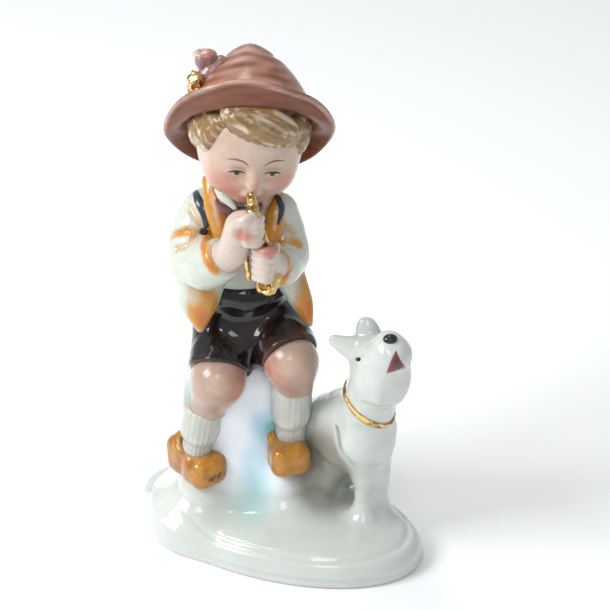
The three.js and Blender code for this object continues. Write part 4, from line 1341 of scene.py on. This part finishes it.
make_hat()
badge = near("hat_badge", -0.2, -1.0, 0.6)
knob_top = ball(badge + (0.2, 0, 0.9), (2.0, 2.0, 3.3))
knob = joined(knob_top, ball(badge + (0.2, -0.6, -1.8), (1.8, 1.7, 1.9)), blend=1.0)
sculpt("hat_badge", wavy(knob, 1.5, 0.3, 2), Paint(GOLD), GILT, 0.24)
tuft = near("hat_brush", 0.2, -2.8, 2.4)
bristles = [
    rod(tuft + (0.3, 0.5, -3.0), tuft + (2.0 * math.sin(a) - 0.2, 1.4 * math.cos(a), 1.8), 0.9, 0.8)
    for a in np.linspace(0, 2 * math.pi, 10)[:-1]
]
tuft_shape = joined(ball(tuft + (0, 0, 0.4), (2.6, 2.2, 3.0)), *bristles, blend=1.1)
tuft_paint = Paint(
    MAUVE,
    (PINK_WHITE, streaks((0.2, 0, 1), 1.3, 0.8, 0.4)),
    (ROSE, spot(tuft + (0.5, -1.5, 2.6), 2.4, 0.5)),
    # Painted shade in the tuft's hollows.
    (MAROON, hollow_shade(0.7, 0.6)),
)
sculpt("hat_brush", tuft_shape, tuft_paint, ENAMEL, 0.26)
fold = near("hat_feather", 1.2, -2.6, 0.8)
fold_shape = rope(trail(fold, (-2.8, -0.6, -4.6), (-0.6, -0.6, 0.4), (2.2, 0.2, 3.4)), [2.2, 3.0, 2.0])
fold_paint = Paint(MAUVE, (PINK_WHITE, edges(0.8, 0.5)), (FELT, streaks((0.5, 0, 1), 1.5, 0.6)))
sculpt("hat_feather", fold_shape, fold_paint, ENAMEL, 0.3)

# ---- pipe and hands

lip = SKULL(-0.4, -13.6, -8.9)
upper = near("right_hand", 0.6, -2.2, 3.2)
lower = near("left_hand", -1.0, -0.9, -1.0)
bell = near("pipe_bell", 0.2, -1.2, 0.2)
stem_path = [lip, lip + (0.5, -1.2, -2.6), upper + (1.6, -0.8, 3.0), lower + (-0.2, -0.4, 3.0), bell]
stem = wavy(rope(stem_path, [1.1, 1.4, 1.8, 1.9, 2.0]), 1.6, 0.12, 1)
STEM_NODES = ("pipe_mouthpiece", "pipe_body")
sculpt("pipe_stem", stem, Paint(GOLD), GILT, 0.26, nodes=STEM_NODES)
bell_shape = cut(
    joined(
        rod(bell + (-0.4, 0, 2.2), bell + (-0.2, -0.6, -0.4), 2.2, 2.8),
        rod(bell + (0.4, -0.4, 0), bell + (2.4, -0.4, 1.5), 2.1, 1.4),
        blend=1.0,
    ),
    ball(bell + (-0.8, -2.6, 0.6), (1.8, 1.5, 1.5)),
    blend=0.6,
)
sculpt("pipe_bell", wavy(bell_shape, 1.8, 0.15, 3), Paint(GOLD), GILT, 0.24)
drone = near("drone_pipe", -1.7, -1.0, 3.0)
drone_shape = joined(
    ball(drone, (1.2, 1.1, 1.4)),
    rod(drone + (0.1, 0, 0), drone + (1.3, 0.2, -9.8), 0.95, 0.55),
    blend=0.6,
)
sculpt("drone_pipe", drone_shape, Paint(GOLD), GILT, 0.22)


def make_hand(name, shape, blush):
    paint = Paint(
        HAND_SKIN,
        (ROSE, spot(blush, 3.4, 0.75, (1.2, 1, 0.8), 0.8)),
        # Painted shade between the fingers, and lighter edges as thin glaze and a painted highlight.
        (ROSE, hollow_shade(0.8, 0.35)),
        (PINK_WHITE, edges(0.7, 0.25)),
    )
    sculpt(name, shape, paint, FLESH, 0.28)


right_cuff = ARMS["right"]["cuff"]
right_wrist = [*trail(right_cuff, (0, 0.4, 0), (3.0, -1.6, 3.0)), upper + (-1.4, 0.2, 0.2)]
right_parts = [
    rope(right_wrist, [4.4, 4.1, 3.9]),
    ball(upper + (-0.2, -0.2, 0.4), (4.0, 3.4, 4.0)),
]
for height in (2.9, 1.0, -0.9, -2.8):
    finger = trail(upper, (0.2, -3.4, height + 0.2), (2.6, -2.8, height), (3.4, 0.0, height - 0.5))
    right_parts.append(rope(finger, [1.15, 1.25, 1.1]))
thumb = trail(upper, (-2.4, -2.8, 2.4), (-0.4, -3.6, 3.8), (1.4, -2.8, 4.6))
right_parts.append(rope(thumb, [1.5, 1.4, 1.1]))
make_hand("right_hand", joined(*right_parts, blend=0.8), upper + (-0.8, -3.6, -0.2))

left_cuff = ARMS["left"]["cuff"]
left_parts = [
    rope([left_cuff, left_cuff + (-0.6, -1.6, 0.4), lower + (1.2, 0.8, 0)], [3.4, 3.4, 3.2]),
    ball(lower + (0.4, 0, 0.4), (3.2, 3.3, 4.8)),
]
for height in (4.2, 2.3, 0.4, -1.5, -3.4):
    reach = 3.0 - 0.08 * (4.2 - height) ** 1.3
    knuckle, bend = (-2.2, -1.8, height - 0.2), (0.2, -3.5, height + 0.2)
    finger = trail(lower, knuckle, bend, (reach - 0.6, -2.4, height), (reach, 0.2, height - 0.2))
    left_parts.append(rope(finger, [1.0, 1.2, 1.2, 1.0]))
make_hand("left_hand", joined(*left_parts, blend=0.6), lower + (1.2, -3.4, 4.8))

# ---- braces

jacket = joined(torso, right_lapel, left_lapel, *sleeves.values())


RIGHT_BRACE = [(-5.9, 0.6, 6.4), (-4.8, 0.6, 3.1), (-3.4, 0.6, -0.4), (-3.0, 0.6, -4.1)]
RIGHT_BUTTON = [(-4.6, 0.6, -4.9), (-3.7, 0.6, -5.3), (-2.8, 0.6, -4.7)]
LEFT_BRACE = [(0.4, 0.6, 5.4), (1.7, 0.6, 2.6), (1.9, 0.6, 0.2), (1.0, 0.6, -3.4)]


def brace(name, node, path, widths, colour, height=0.28):
    middle = near(node) - 20 * PAINTERS_VIEW
    line(name, trail(middle, *path), widths, jacket, PAINTERS_VIEW, colour, height)


brace("right_brace", "right_lapel", RIGHT_BRACE, [1.6, 2.2, 2.1, 1.4], BRACE_BLUE)
brace("right_brace_button", "right_lapel", RIGHT_BUTTON, [1.2, 2.0, 1.2], INK, 0.6)
# The left brace's blue is darkened as painted shade.
brace("left_brace", "left_lapel", LEFT_BRACE, [0.8, 2.0, 1.8, 0.5], BRACE_BLUE * 0.7)

for name, sign in (("right", -1), ("left", 1)):
    behind = [chest + (sign * x, 30, z) for x, z in ((8.6, 13.5), (6.6, 6.0), (4.6, -3.0), (3.6, -9.5))]
    line(f"{name}_back_brace", behind, [1.6, 2.0, 2.0, 1.6], jacket, point(0, -1, -0.1), BRACE_BLUE, 0.3)

# ---------------------------------------------------------------- stage, light and camera


FLOOR_SIZE = 6  # metres
SKY_STRENGTH = 0.5
WINDOWS = (  # name, place from the middle, width, height, watts, colour
    ("overhead_window", (-160, 160, 560), 260, 200, 1.1, (1, 0.99, 0.97)),
    ("left_window", (-520, -180, 470), 380, 300, 4.0, (0.96, 0.98, 1.0)),
    ("front_window", (-60, -620, 640), 220, 260, 0.9, (1, 0.99, 0.97)),
)
CAMERA_RAISED = 30  # degrees above level
CAMERA_AWAY = 600
CAMERA_AIM = (7, 0, 2.5)  # from the middle of the figurine
SENSOR, LENS = 36, 141.2


def stage_floor():
    bpy.ops.mesh.primitive_plane_add(size=FLOOR_SIZE, location=(0, 0, 0))
    floor = bpy.context.object
    floor.name = "floor"
    recipe = Recipe("pale_floor")
    fill(recipe.shader, {"Base Color": (0.97, 0.975, 0.98, 1), "Roughness": 0.9})
    fill(recipe.shader, {"Specular IOR Level": 0.1})
    floor.data.materials.append(recipe.material)


def facing_euler(direction):
    return Vector(direction).to_track_quat("-Z", "Y").to_euler()


def area_light(name, place, target, wide, tall, watts, colour):
    light = bpy.data.lights.new(name, "AREA")
    light.shape = "RECTANGLE"
    light.size = wide * MM
    light.size_y = tall * MM
    light.energy = watts
    light.color = colour
    lamp = bpy.data.objects.new(name, light)
    lamp.location = place * MM
    lamp.rotation_euler = facing_euler(target - place)
    bpy.context.scene.collection.objects.link(lamp)


def light_and_camera():
    low, high = (np.array(c) / MM for c in CAD_BOX)
    middle = (low + high) / 2
    world = bpy.data.worlds.new("studio")
    bpy.context.scene.world = world
    world.use_nodes = True
    fill(world.node_tree.nodes["Background"], {"Color": (0.95, 0.98, 1.0, 1), "Strength": SKY_STRENGTH})
    for name, place, wide, tall, watts, colour in WINDOWS:
        area_light(name, middle + place, middle, wide, tall, watts, colour)
    camera_data = bpy.data.cameras.new("camera")
    camera_data.sensor_width = SENSOR
    camera_data.lens = LENS
    camera_data.clip_end = 20
    camera = bpy.data.objects.new("camera", camera_data)
    raised = math.radians(CAMERA_RAISED)
    target = middle + CAMERA_AIM
    place = target + CAMERA_AWAY * point(0, -math.cos(raised), math.sin(raised))
    camera.location = place * MM
    camera.rotation_euler = facing_euler(target - place)
    bpy.context.scene.collection.objects.link(camera)
    bpy.context.scene.camera = camera
    bpy.context.scene.view_settings.view_transform = "Standard"


stage_floor()
light_and_camera()
